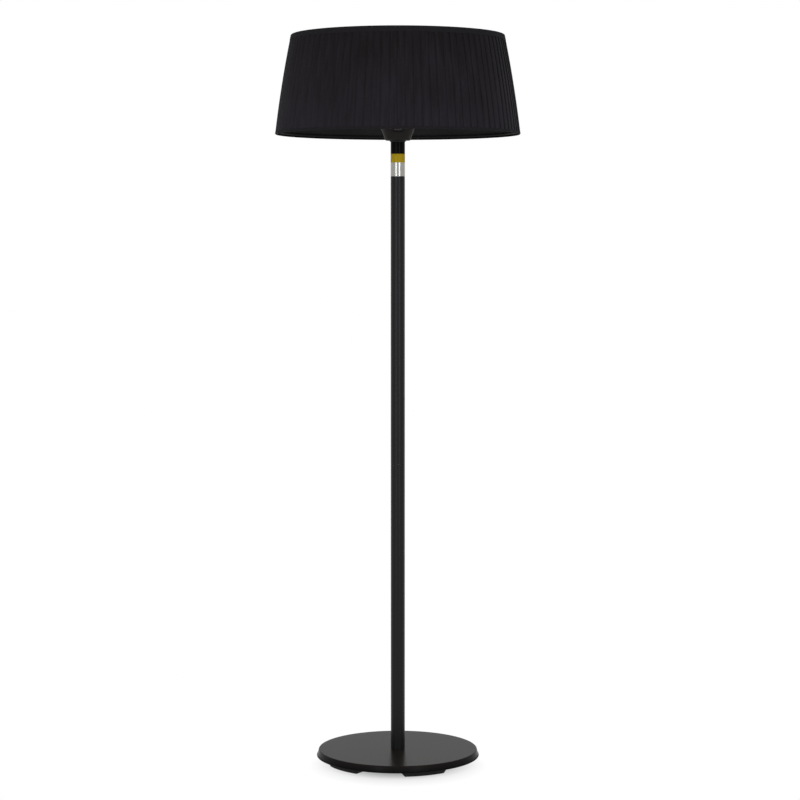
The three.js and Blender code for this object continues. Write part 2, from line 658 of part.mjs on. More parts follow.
// The reflector is a spun trough: inner flange, inner cone, flat ceiling, outer cone and outer flange.
function reflector() {
  const bend = REFLECTOR_BEND;
  const rimZ = REFLECTOR_Z + HOUSING_WALL + SEAT_GAP;
  const rim = HOUSING_RADIUS - HOUSING_LIP - SEAT_GAP;
  const flangeEnd = REFLECTOR_INNER_RADIUS + REFLECTOR_FLANGE;
  const path = [
    [REFLECTOR_INNER_RADIUS, REFLECTOR_Z],
    [flangeEnd - bend / 2, REFLECTOR_Z],
    [flangeEnd + bend / 2, REFLECTOR_Z + bend / 2],
    [CEILING_INNER_RADIUS - bend, CEILING_Z - bend],
    [CEILING_INNER_RADIUS, CEILING_Z],
    [CEILING_OUTER_RADIUS, CEILING_Z],
    [CEILING_OUTER_RADIUS + bend, CEILING_Z - bend],
    [rim - bend / 2, rimZ + bend],
    [rim, rimZ],
    [HOUSING_RADIUS - HOUSING_WALL - SEAT_GAP, rimZ],
  ];
  return piece('reflector', pressedSheet(path, REFLECTOR_WALL, HEAD_SIDES), mirrorAluminium);
}

// The housing is a pressed dome with a turned-in lip that carries the reflector, and a ring of vents.
function upperHousing() {
  const crown = Array.from({ length: CROWN_STEPS + 1 }, (_, i) => {
    const angle = (Math.PI / 2) * (i / CROWN_STEPS);
    return [
      CROWN_FLAT_RADIUS + (HOUSING_RADIUS - CROWN_FLAT_RADIUS) * Math.cos(angle),
      REFLECTOR_Z + HOUSING_SKIRT + (HOUSING_HEIGHT - HOUSING_SKIRT) * Math.sin(angle),
    ];
  });
  const path = [
    [HOUSING_RADIUS - HOUSING_LIP, REFLECTOR_Z],
    [HOUSING_RADIUS, REFLECTOR_Z],
    ...crown,
    [STUD_RADIUS + SEAT_GAP, HOUSING_TOP_Z],
  ];
  const shell = pressedSheet(path, HOUSING_WALL, HEAD_SIDES);
  const ventHeight = HOUSING_HEIGHT - HOUSING_SKIRT;
  const vents = Array.from({ length: VENT_COUNT }, (_, i) =>
    box(VENT_WIDTH, VENT_LENGTH, ventHeight, 0, -VENT_RADIUS, HOUSING_TOP_Z - ventHeight / 2)
      .rotateZ((2 * Math.PI * (i + 0.25)) / VENT_COUNT),
  );
  return piece('upper_housing', cut(shell, ...vents), powderCoat);
}

// Turns something made square to -Y at its radius to its place round the axis.
const around = (object, degrees) => {
  object.rotation.z = radians(degrees);
  return object;
};

const lampAngle = (i) => (360 * i) / LAMP_COUNT;
const capStart = LAMP_LENGTH / 2 - CAP_OVERLAP;

// A cap is a ceramic cup over the end of the tube, made along +X from its mouth.
function capGeometry() {
  const cup = cut(
    cylinder(CAP_RADIUS, CAP_LENGTH, LAMP_SIDES).translate(0, 0, CAP_LENGTH / 2),
    cylinder(LAMP_TUBE_RADIUS + SEAT_GAP, 2 * (CAP_OVERLAP + SEAT_GAP), LAMP_SIDES),
  );
  return cup.rotateY(Math.PI / 2).translate(capStart, 0, 0);
}

function lamps() {
  return Array.from({ length: LAMP_COUNT }, (_, i) => {
    const tube = cylinder(LAMP_TUBE_RADIUS, LAMP_LENGTH, LAMP_SIDES).rotateY(Math.PI / 2);
    const place = [0, -LAMP_RING_RADIUS, LAMP_Z];
    return [
      piece(`heat_lamp_${i + 1}`, tube.translate(...place), quartz),
      piece(`lamp_cap_${i + 1}_right`, capGeometry().translate(...place), ceramic),
      piece(
        `lamp_cap_${i + 1}_left`,
        capGeometry().rotateZ(Math.PI).translate(...place),
        ceramic,
      ),
    ].map((mesh) => around(mesh, lampAngle(i)));
  }).flat();
}

// A corner bracket hangs from the ceiling and takes the neighbouring ends of two lamps.
function bracketGeometry() {
  const half = radians(180 / LAMP_COUNT);
  const earAlong = capStart + CAP_LENGTH - BRACKET_EAR_INSET;
  const reach = LAMP_RING_RADIUS * Math.cos(half) + earAlong * Math.sin(half);
  const spread = LAMP_RING_RADIUS * Math.sin(half) - earAlong * Math.cos(half);
  const top = CEILING_Z - SEAT_GAP;
  const earHeight = LAMP_DROP + CAP_RADIUS + BRACKET_EAR_RIM;
  const strip = box(
    2 * spread + BRACKET_EAR_WIDTH,
    BRACKET_WIDTH,
    BRACKET_THICKNESS,
    0,
    -reach,
    top - BRACKET_THICKNESS / 2,
  );
  const ear = (side) => {
    const plate = box(
      BRACKET_THICKNESS,
      BRACKET_EAR_WIDTH,
      earHeight,
      0,
      0,
      top - BRACKET_THICKNESS / 2 - earHeight / 2,
    );
    const eye = cylinder(CAP_RADIUS + SEAT_GAP, 4 * BRACKET_THICKNESS, LAMP_SIDES)
      .rotateY(Math.PI / 2)
      .translate(0, 0, LAMP_Z);
    return cut(plate, eye).rotateZ(side * half).translate(side * spread, -reach, 0);
  };
  return join(strip, ear(1), ear(-1));
}

function lampBrackets() {
  return Array.from({ length: LAMP_COUNT }, (_, i) =>
    around(piece(`lamp_bracket_${i + 1}`, bracketGeometry(), zincSteel), lampAngle(i + 0.5)),
  );
}

// The guard is welded from rings of wire with straight spokes under them.
function wireGuard() {
  const step = (GUARD_OUTER_RADIUS - GUARD_INNER_RADIUS) / (GUARD_RINGS - 1);
  const rings = Array.from({ length: GUARD_RINGS }, (_, i) =>
    new THREE.TorusGeometry(GUARD_INNER_RADIUS + i * step, GUARD_WIRE_RADIUS, 5, 16 + 6 * i)
      .translate(0, 0, GUARD_Z),
  );
  const length = GUARD_OUTER_RADIUS - GUARD_INNER_RADIUS + GUARD_WIRE_RADIUS;
  const spokeZ = GUARD_Z - 2 * GUARD_WIRE_RADIUS + GUARD_WELD;
  const spokes = Array.from({ length: GUARD_SPOKES }, (_, i) =>
    new THREE.CylinderGeometry(GUARD_WIRE_RADIUS, GUARD_WIRE_RADIUS, length, 5)
      .translate(0, -(GUARD_INNER_RADIUS + GUARD_OUTER_RADIUS) / 2, spokeZ)
      .rotateZ((2 * Math.PI * i) / GUARD_SPOKES),
  );
  return piece('wire_guard', join(...rings, ...spokes), zincSteel);
}

// A clip hooks under the guard's outer ring and stands against the housing's skirt.
function guardClips() {
  const face = HOUSING_RADIUS + SEAT_GAP;
  const legTop = GUARD_Z - GUARD_WIRE_RADIUS - SEAT_GAP;
  const inner = GUARD_OUTER_RADIUS - GUARD_WIRE_RADIUS - CLIP_HOOK;
  const outer = face + CLIP_THICKNESS;
  const leg = box(
    CLIP_WIDTH,
    outer - inner,
    CLIP_THICKNESS,
    0,
    -(outer + inner) / 2,
    legTop - CLIP_THICKNESS / 2,
  );
  const back = box(
    CLIP_WIDTH,
    CLIP_THICKNESS,
    CLIP_HEIGHT,
    0,
    -(face + CLIP_THICKNESS / 2),
    legTop - CLIP_THICKNESS + CLIP_HEIGHT / 2,
  );
  const geometry = join(leg, back);
  return Array.from({ length: CLIP_COUNT }, (_, i) =>
    around(
      piece(`guard_clip_${i + 1}`, geometry.clone(), zincSteel),
      (360 * (i + 0.5)) / CLIP_COUNT + 180 / GUARD_SPOKES,
    ),
  );
}

// ---------------------------------------------------------------- inside the housing

function terminalBlock() {
  const [width, depth, height] = TERMINAL_SIZE;
  const y = TERMINAL_REACH + depth / 2;
  const body = box(width, depth, height, 0, y, SHELF_Z + height / 2);
  const pitch = width / TERMINAL_WELLS;
  const wells = Array.from({ length: TERMINAL_WELLS }, (_, i) =>
    cylinder(TERMINAL_WELL_RADIUS, 2 * TERMINAL_WELL_DEPTH, 10)
      .translate((i + 0.5) * pitch - width / 2, y, SHELF_Z + height),
  );
  return piece('terminal_block', cut(body, ...wells), modulePlastic);
}

function controlModule() {
  const [width, depth, height] = CONTROL_SIZE;
  const x = -(MODULE_REACH + width / 2);
  const tray = box(width, depth, height - LID_HEIGHT, x, 0, SHELF_Z + (height - LID_HEIGHT) / 2);
  const lid = box(width - 2 * LID_INSET, depth - 2 * LID_INSET, height, x, 0, SHELF_Z + height / 2);
  return piece('control_module', join(tray, lid), modulePlastic);
}

function tiltSwitch() {
  const [width, depth, height] = TILT_SWITCH_SIZE;
  const x = MODULE_REACH + width / 2;
  const body = box(width, depth, height, x, 0, SHELF_Z + height / 2);
  const foot = box(width, depth + 2 * MODULE_TAB, MODULE_FOOT, x, 0, SHELF_Z + MODULE_FOOT / 2);
  return piece('tilt_switch', join(body, foot), modulePlastic);
}

function thermalCutout() {
  const y = -(CEILING_INNER_RADIUS + CEILING_OUTER_RADIUS) / 2;
  const can = cylinder(CUTOUT_RADIUS, CUTOUT_HEIGHT, LAMP_SIDES)
    .translate(0, y, SHELF_Z + CUTOUT_HEIGHT / 2);
  const footLength = 2 * (CUTOUT_RADIUS + MODULE_TAB);
  const foot = box(footLength, CUTOUT_RADIUS, MODULE_FOOT, 0, y, SHELF_Z + MODULE_FOOT / 2);
  return piece('thermal_cutout', join(can, foot), zincSteel);
}

// ---------------------------------------------------------------- shade and its carrier

function stemPlug() {
  const bore = STUD_RADIUS + SEAT_GAP;
  const outline = [
    [bore, STEM_TOP_Z - PLUG_DEPTH],
    [POLE_BORE - SEAT_GAP, STEM_TOP_Z - PLUG_DEPTH],
    [POLE_BORE - SEAT_GAP, STEM_TOP_Z + SEAT_GAP],
    [PLUG_FLANGE_RADIUS, STEM_TOP_Z + SEAT_GAP],
    [PLUG_FLANGE_RADIUS, FLANGE_TOP_Z],
    [bore, FLANGE_TOP_Z],
  ];
  return piece('stem_plug', revolve(outline, SMALL_ROUND), zincSteel);
}

function shadeStud() {
  const low = STEM_TOP_Z - PLUG_DEPTH;
  const high = FINIAL_Z + FINIAL_HEIGHT - FINIAL_CROWN - SEAT_GAP;
  const stud = cylinder(STUD_RADIUS, high - low).translate(0, 0, (low + high) / 2);
  return piece('shade_stud', stud, zincSteel);
}

function spiderHub() {
  const bore = STUD_RADIUS + SEAT_GAP;
  const bossTop = FINIAL_Z - SEAT_GAP;
  const outline = [
    [bore, HUB_Z],
    [HUB_RADIUS, HUB_Z],
    [HUB_RADIUS, HUB_Z + HUB_THICKNESS],
    [HUB_BOSS_RADIUS, HUB_Z + HUB_THICKNESS],
    [HUB_BOSS_RADIUS, bossTop],
    [bore, bossTop],
  ];
  return piece('spider_hub', revolve(outline, SMALL_ROUND), satinBlack);
}

// The shade's outline: its radius at a height above its lower rim, with the sides slightly swollen.
function shadeRadius(height) {
  const share = height / SHADE_HEIGHT;
  const straight = SHADE_BOTTOM_RADIUS + (SHADE_TOP_RADIUS - SHADE_BOTTOM_RADIUS) * share;
  return straight + 4 * SHADE_BULGE * share * (1 - share);
}

const linerInnerRadius = (height) => shadeRadius(height) - LINER_INSET - LINER_WALL;
const ringMajorRadius = (height) => linerInnerRadius(height) - 2 * SEAT_GAP - RING_RADIUS;

// An arm leaves the hub level, then rises straight at the middle of the top ring's wire.
function spiderArms() {
  const ringReach = ringMajorRadius(SHADE_HEIGHT - RING_SETBACK) * Math.cos(Math.PI / SHADE_SIDES);
  const lean = Math.atan(ARM_RISE / (ringReach - ARM_LEVEL_REACH));
  const short = RING_RADIUS + SEAT_GAP;
  const at = (radius, rise) => new THREE.Vector3(0, -radius, ARM_Z + rise);
  const points = [
    at(HUB_BOSS_RADIUS + SEAT_GAP, 0),
    at(ARM_LEVEL_REACH - ARM_BEND, 0),
    at(ARM_LEVEL_REACH + ARM_BEND, ARM_BEND * Math.tan(lean)),
    at(ringReach - short * Math.cos(lean), ARM_RISE - short * Math.sin(lean)),
  ];
  return Array.from({ length: ARM_COUNT }, (_, i) => {
    const arm = piece(`spider_arm_${i + 1}`, rod(points, ARM_RADIUS, 8), satinBlack);
    return around(arm, (360 * (i + 0.5)) / ARM_COUNT);
  });
}

// The finial nut is fluted, so that a hand can tighten it.
function finialNut() {
  const pointsPerFlute = 4;
  const steps = FINIAL_FLUTES * pointsPerFlute;
  const outline = Array.from({ length: steps }, (_, i) => {
    const angle = (2 * Math.PI * i) / steps;
    const radius = FINIAL_RADIUS - (i % pointsPerFlute === 0 ? FINIAL_FLUTE_DEPTH : 0);
    return new THREE.Vector2(radius * Math.cos(angle), radius * Math.sin(angle));
  });
  const grip = new THREE.ExtrudeGeometry(new THREE.Shape(outline), {
    depth: FINIAL_HEIGHT - 2 * FINIAL_CHAMFER,
    bevelThickness: FINIAL_CHAMFER,
    bevelSize: FINIAL_CHAMFER,
    bevelOffset: -FINIAL_CHAMFER,
    bevelSegments: 1,
  }).translate(0, 0, FINIAL_Z + FINIAL_CHAMFER);
  const wellDepth = FINIAL_HEIGHT - FINIAL_CROWN;
  const well = cylinder(STUD_RADIUS + SEAT_GAP, 2 * wellDepth).translate(0, 0, FINIAL_Z);
  return piece('finial_nut', cut(grip, well), satinBlack);
}

function shadeRing(name, height) {
  const radius = ringMajorRadius(height);
  const wire = new THREE.TorusGeometry(radius, RING_RADIUS, 6, SHADE_SIDES)
    .rotateZ(-Math.PI / 2)
    .translate(0, 0, SHADE_Z + height);
  return piece(name, wire, satinBlack);
}

// The liner is the stiff heat-proof cone that the pleated cloth is fixed to.
function linerCone() {
  const low = HEM_WALL + SEAT_GAP;
  const high = SHADE_HEIGHT - HEM_WALL - SEAT_GAP;
  const heights = [low, SHADE_HEIGHT / 2, high];
  const outer = heights.map((h) => [shadeRadius(h) - LINER_INSET, SHADE_Z + h]);
  const inner = heights.map((h) => [linerInnerRadius(h), SHADE_Z + h]).reverse();
  return piece('shade_liner', revolve([...outer, ...inner], SHADE_SIDES), shadeLiner);
}

// Knife pleats: each fold starts proud and runs back to the foot of the next one's step.
function pleatedCover() {
  const low = BOTTOM_HEM_HEIGHT + SEAT_GAP;
  const high = SHADE_HEIGHT - TOP_HEM_HEIGHT - SEAT_GAP;
  const heights = [low, SHADE_HEIGHT / 2, high];
  const pitch = (2 * Math.PI) / PLEAT_COUNT;
  const stepWidth = pitch * PLEAT_STEP_SHARE;
  const at = (radius, angle, z) => [radius * Math.sin(angle), -radius * Math.cos(angle), z];
  const positions = [];
  const perPleat = 3; // proud fold, end of its run, and the inner face
  for (const height of heights) {
    for (let i = 0; i < PLEAT_COUNT; i++) {
      const radius = shadeRadius(height);
      const foot = radius - PLEAT_DEPTH;
      const z = SHADE_Z + height;
      positions.push(...at(radius, i * pitch, z));
      positions.push(...at(foot, (i + 1) * pitch - stepWidth, z));
      positions.push(...at(foot - CLOTH_THICKNESS, i * pitch, z));
    }
  }
  const vertex = (row, i, kind) => (row * PLEAT_COUNT + (i % PLEAT_COUNT)) * perPleat + kind;
  const faces = [];
  const quad = (a, b, c, d) => faces.push(a, b, c, a, c, d);
  for (let i = 0; i < PLEAT_COUNT; i++) {
    for (let row = 0; row < heights.length - 1; row++) {
      const up = row + 1;
      quad(vertex(row, i, 0), vertex(row, i, 1), vertex(up, i, 1), vertex(up, i, 0));
      quad(vertex(row, i, 1), vertex(row, i + 1, 0), vertex(up, i + 1, 0), vertex(up, i, 1));
      quad(vertex(row, i + 1, 2), vertex(row, i, 2), vertex(up, i, 2), vertex(up, i + 1, 2));
    }
    const top = heights.length - 1;
    faces.push(vertex(0, i, 0), vertex(0, i, 2), vertex(0, i, 1));
    faces.push(vertex(0, i, 1), vertex(0, i, 2), vertex(0, i + 1, 2));
    faces.push(vertex(0, i, 1), vertex(0, i + 1, 2), vertex(0, i + 1, 0));
    faces.push(vertex(top, i, 0), vertex(top, i, 1), vertex(top, i, 2));
    faces.push(vertex(top, i, 1), vertex(top, i + 1, 2), vertex(top, i, 2));
    faces.push(vertex(top, i, 1), vertex(top, i + 1, 0), vertex(top, i + 1, 2));
  }
  const geometry = new THREE.BufferGeometry();
  geometry.setAttribute('position', new THREE.Float32BufferAttribute(positions, 3));
  geometry.setIndex(faces);
  return piece('pleated_cover', geometry, shadeCloth);
}

// A hem is a channel of tape over a rim. Its outer face is flush with the pleats' folds.
function hemChannel(name, rim, tapeHeight) {
  const into = rim === 0 ? 1 : -1;
  const legEnd = rim + into * HEM_LEG;
  const tapeEnd = rim + into * tapeHeight;
  const floor = rim + into * HEM_WALL;
  const z = (height) => SHADE_Z + height;
  const tapeInner = (height) => shadeRadius(height) - LINER_INSET + SEAT_GAP;
  const legOuter = (height) => linerInnerRadius(height) - SEAT_GAP;
  const fold = Array.from({ length: HEM_EDGE_STEPS + 1 }, (_, i) => {
    const angle = (Math.PI * i) / (2 * HEM_EDGE_STEPS);
    const height = rim + into * HEM_EDGE * (1 - Math.sin(angle));
    return [shadeRadius(height) - HEM_EDGE * (1 - Math.cos(angle)), z(height)];
  });
  const outline = [
    [shadeRadius(tapeEnd), z(tapeEnd)],
    ...fold,
    [legOuter(rim) - HEM_WALL, z(rim)],
    [legOuter(legEnd) - HEM_WALL, z(legEnd)],
    [legOuter(legEnd), z(legEnd)],
    [legOuter(floor), z(floor)],
    [tapeInner(floor), z(floor)],
    [tapeInner(tapeEnd), z(tapeEnd)],
  ];
  return piece(name, revolve(outline, SHADE_SIDES), shadeCloth);
}

// ---------------------------------------------------------------- the whole heater

function buildBase() {
  const base = new THREE.Group();
  base.add(...feet(), baseTray(), ballastDisc(), baseCover(), ...poleFixing(), cordGland());
  return base;
}

function buildPole() {
  const pole = new THREE.Group();
  pole.add(...poleSections(), headStem(), internalFlex(), collarSeal());
  return pole;
}

function buildHead() {
  const head = new THREE.Group();
  head.add(collarHousing(), switchBody(), switchRocker());
  head.add(reflector(), upperHousing(), ...lamps(), ...lampBrackets());
  head.add(wireGuard(), ...guardClips());
  head.add(terminalBlock(), controlModule(), tiltSwitch(), thermalCutout());
  head.add(stemPlug(), shadeStud(), spiderHub(), ...spiderArms(), finialNut());
  head.position.z = HEAD_Z;
  return head;
}

function buildShade() {
  const shade = new THREE.Group();
  shade.add(
    shadeRing('shade_top_ring', SHADE_HEIGHT - RING_SETBACK),
    shadeRing('shade_bottom_ring', RING_SETBACK),
    linerCone(),
    pleatedCover(),
    hemChannel('top_hem', SHADE_HEIGHT, TOP_HEM_HEIGHT),
    hemChannel('bottom_hem', 0, BOTTOM_HEM_HEIGHT),
  );
  return shade;
}

const heater = new THREE.Group();
heater.name = 'patio_heater';
heater.add(buildBase(), buildPole(), buildHead(), buildShade());

export default heater;
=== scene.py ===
# The looks of an infrared patio heater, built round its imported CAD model.
# Everything is in metres, in the CAD model's own frame: the floor is Z 0, the pole stands on the Z axis,
# and the front, with the mains switch, looks along -Y.

import json
import math

import bmesh
import bpy
import numpy as np
from bpy.props import FloatProperty, FloatVectorProperty, IntProperty, PointerProperty
from bpy.types import Operator, Panel, PropertyGroup
from mathutils import Matrix, Vector


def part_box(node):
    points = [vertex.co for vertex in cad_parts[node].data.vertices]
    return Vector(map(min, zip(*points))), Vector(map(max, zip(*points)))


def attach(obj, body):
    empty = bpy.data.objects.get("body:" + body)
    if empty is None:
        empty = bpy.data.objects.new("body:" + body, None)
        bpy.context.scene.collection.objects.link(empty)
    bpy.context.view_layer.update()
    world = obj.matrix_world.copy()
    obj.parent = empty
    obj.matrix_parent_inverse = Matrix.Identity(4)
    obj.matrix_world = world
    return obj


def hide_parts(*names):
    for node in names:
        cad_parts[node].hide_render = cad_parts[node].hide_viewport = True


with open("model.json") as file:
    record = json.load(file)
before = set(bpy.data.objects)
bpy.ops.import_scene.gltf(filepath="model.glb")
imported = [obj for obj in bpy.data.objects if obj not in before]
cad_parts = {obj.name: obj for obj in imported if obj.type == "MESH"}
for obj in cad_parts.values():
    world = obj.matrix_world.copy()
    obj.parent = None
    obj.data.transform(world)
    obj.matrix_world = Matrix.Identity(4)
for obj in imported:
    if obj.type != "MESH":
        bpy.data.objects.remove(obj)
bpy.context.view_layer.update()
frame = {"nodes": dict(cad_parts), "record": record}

SLOTS = {row["node"]: row["material_slot"] for row in frame["record"]["subparts"]}

bl_info = {
    "name": "Patio Heater Looks",
    "version": (1, 0, 0),
    "blender": (4, 5, 0),
    "location": "View3D > Sidebar > Heater",
    "description": "Builds the visible pieces, finishes and studio of a pleated patio heater",
    "category": "Object",
}

MM = 0.001
PLAY = 0.3 * MM  # between pieces that rest on or in each other


# ------------------------------------------------------------------ sizes read from the frame

def reach(node):
    """The outer radius of a round node, which always has a corner straight to the front."""
    return -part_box(node)[0].y


def widest(node):
    """The radius of a node's corner that is furthest from the pole's axis."""
    return max(math.hypot(v.co.x, v.co.y) for v in frame["nodes"][node].data.vertices)


def low(node):
    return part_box(node)[0].z


def high(node):
    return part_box(node)[1].z


def mid_height(node):
    lowest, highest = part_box(node)
    return ((lowest + highest) / 2).z


def angles(count, offset=0.0, phase=0.0):
    """The angles of things set evenly round the axis, moved on by a share of a step and by a phase."""
    return [phase + math.tau * (i + offset) / count for i in range(count)]


def srgb(*levels):
    """A colour given as 0 to 255 screen levels, in the linear values that shaders take."""
    shares = (level / 255 for level in levels)
    return tuple(s / 12.92 if s <= 0.04045 else ((s + 0.055) / 1.055) ** 2.4 for s in shares)


# ------------------------------------------------------------------ settings

def length(name, description, millimetres):
    return FloatProperty(
        name=name, description=description, default=millimetres * MM, unit="LENGTH", precision=5
    )


def rotation(name, description, degrees):
    return FloatProperty(name=name, description=description, default=math.radians(degrees), unit="ROTATION")


def power(name, description, watts):
    return FloatProperty(name=name, description=description, default=watts, unit="POWER")


def position(name, description, *metres):
    return FloatVectorProperty(name=name, description=description, default=metres, subtype="TRANSLATION")


def whole(name, description, default):
    return IntProperty(name=name, description=description, default=default)


def colour(name, description, *levels):
    return FloatVectorProperty(
        name=name, description=description, subtype="COLOR", size=3, min=0, max=1, default=srgb(*levels)
    )


class StageSettings(PropertyGroup):
    lens: FloatProperty(
        name="Lens", description="Focal length for a 36 mm sensor", default=100.544, unit="CAMERA"
    )
    camera_place: position("Camera", "Where the camera stands", 0.005391, -5.505768, 1.298758)
    camera_dip: rotation("Camera Dip", "How far the camera looks down", 4.1295)
    ambient: FloatProperty(
        name="Ambient", description="Even light from all round the studio", default=0.4, min=0
    )
    side_light: power("Side Lights", "Power of each side softbox", 38)
    side_place: position("Side Place", "Where the right side softbox hangs", 3.4, -2.4, 2.2)
    front_light: power("Front Lights", "Power of each softbox by the camera", 50)
    front_place: position("Front Place", "Where the right front softbox hangs", 2.4, -4.75, 1.5)
    aim: position("Aim", "What the softboxes face", 0, 0, 1)
    floor: colour("Floor", "The pale studio floor", 247, 247, 247)


class CoatSettings(PropertyGroup):
    powder: colour("Base Coat", "The base's cover", 29, 26, 24)
    pole: colour("Pole Coat", "The pole, the head's stem and the housing", 20, 19, 19)
    satin: colour("Satin Black", "Tray, collar, spider and finial nut", 36, 34, 32)
    hoops: colour("Hoop Enamel", "The shade's two hoops", 32, 31, 30)
    plastic: colour("Switch Plastic", "Switch body and rocker", 21, 20, 19)
    rubber: colour("Rubber", "Feet, seal and gland", 22, 21, 21)
    cloth: colour("Shade Cloth", "The pleats where they are lightest", 38, 36, 41)
    tape: colour("Hem Tape", "The tapes over the shade's rims", 33, 31, 33)
    liner: colour("Shade Liner", "The inner wall of the shade", 43, 41, 40)
    film: colour("Wrap Film", "The upper part of the stem's wrap", 7, 7, 7)
    band: colour("Wrap Band", "The plain band at the film's foot", 168, 141, 10)
    foil: colour("Wrap Foil", "The lower part of the stem's wrap", 154, 152, 147)
    aluminium: colour("Aluminium", "The spun reflector", 222, 223, 226)
    zinc: colour("Zinc Plate", "Guard, brackets, clips and fasteners", 186, 189, 192)
    iron: colour("Cast Iron", "The ballast", 62, 61, 62)
    sheath: colour("Flex Sheath", "The flex inside the pole", 20, 20, 20)
    quartz: colour("Ruby Quartz", "The lamps' glass", 168, 58, 26)
    ceramic: colour("Ceramic", "The lamps' caps", 226, 220, 206)
    modules: colour("Module Plastic", "The electrical parts in the housing", 205, 200, 190)
    tungsten: colour("Tungsten", "The lamps' filaments", 120, 112, 104)


class BaseSettings(PropertyGroup):
    cover_edge: length("Cover Edge", "Radius of the cover's top edge", 2.6)
    cover_wall: length("Cover Wall", "Thickness of the pressed cover", 2)
    cover_flare: length("Skirt Flare", "How far the skirt spreads", 4)
    tray_edge: length("Tray Edge", "Radius of the tray's rolled edge", 0.9)
    tray_plate: length("Tray Plate", "Thickness of the tray", 2.2)
    rib_width: length("Rib Width", "Width of the tray's pressed ribs", 3)
    rib_length: length("Rib Length", "Length of the tray's pressed ribs", 110)
    rib_inset: length("Rib Inset", "From the tray's edge to a rib", 20)
    foot_count: whole("Feet", "Rubber feet under the tray", 5)
    foot_depth: length("Foot Depth", "From a foot's outer to its inner face", 30)
    foot_half: rotation("Foot Half Angle", "Half the arc of a foot at the tray", 20.5)
    foot_slant: rotation("Foot Slant", "How far a foot's ends draw in at the floor", 4)
    foot_phase: rotation("Foot Phase", "From the front to the middle of the first foot", 22)
    foot_edge: length("Foot Edge", "Radius of a foot's moulded edges", 1.6)
    nut_across: length("Nut", "Across the flats of the nut under the base", 24)
    nut_chamfer: length("Nut Chamfer", "Height of the chamfer on the nut's corners", 1.2)
    gland_bore: length("Gland Bore", "Radius of the way for the cord", 3.8)
    gland_neck: length("Gland Neck", "Radius of the gland in the tray", 5.3)
    gland_flange: length("Gland Flange", "Thickness of the gland's flange", 2.6)


class PoleSettings(PropertyGroup):
    wall: length("Pole Wall", "Wall of the pole's tube", 1.5)
    end_chamfer: length("End Chamfer", "Broken edge at a section's ends", 0.25)
    wrap_top: length("Wrap Top", "Height of the film's upper edge", 1534.6)
    wrap_seam: length("Wrap Seam", "Height where the film meets the foil", 1484.7)
    wrap_foot: length("Wrap Foot", "Height of the foil's lower edge", 1451.3)
    wrap_skin: length("Wrap Skin", "Thickness of the wrap", 0.12)
    band_width: length("Band", "Width of the plain band", 21)


class CollarSettings(PropertyGroup):
    foot_radius: length("Collar Foot", "Radius of the funnel above its lower edge", 31.5)
    edge: length("Collar Edge", "Radius of the funnel's lower edge", 2.6)
    wall: length("Collar Wall", "Thickness of the funnel", 2.2)
    boss_wall: length("Boss Wall", "Thickness of the boss round the stem", 3.4)
    boss_height: length("Boss Height", "Height of the boss round the stem", 12)
    seal_waist: length("Seal Waist", "From the CAD seal's foot to the visible lip", 2.4)
    seal_slim: length("Seal Slimming", "How much slimmer the lip is than the CAD seal", 1.4)
    switch_height: length("Switch Height", "From the collar's underside to the switch", 33)
    bezel_width: length("Bezel Width", "Width over the bezel", 27)
    bezel_length: length("Bezel Length", "Length over the bezel, up the collar", 32)
    bezel_rim: length("Bezel Rim", "How far the bezel stands off the collar", 1)
    bezel_depth: length("Bezel Depth", "From the bezel's face to its deepest corners", 6)
    well_floor: length("Well Floor", "Thickness of the switch under the rocker", 1.5)
    body_wall: length("Switch Wall", "Thickness of the switch beside the rocker", 2.2)
    body_depth: length("Switch Depth", "Depth of the switch behind the collar's skin", 15)
    rocker_width: length("Rocker Width", "Width of the rocker", 19)
    rocker_radius: length("Rocker Radius", "From the pivot to the rocker's ends", 12)
    rocker_drum: length("Rocker Drum", "Radius of the rocker under its pivot", 7.2)
    rocker_shoulder: rotation("Rocker Shoulder", "From the pivot's level up to the raised corners", 26)
    rocker_tilt: rotation("Rocker Tilt", "How far the rocker leans either side of level", 9)
    pivot_depth: length("Pivot Depth", "Depth of the rocker's pivot", 4)
    pin_radius: length("Pin Radius", "Radius of the rocker's pins", 1.5)
    pin_reach: length("Pin Reach", "How far a pin stands past the rocker", 1.7)


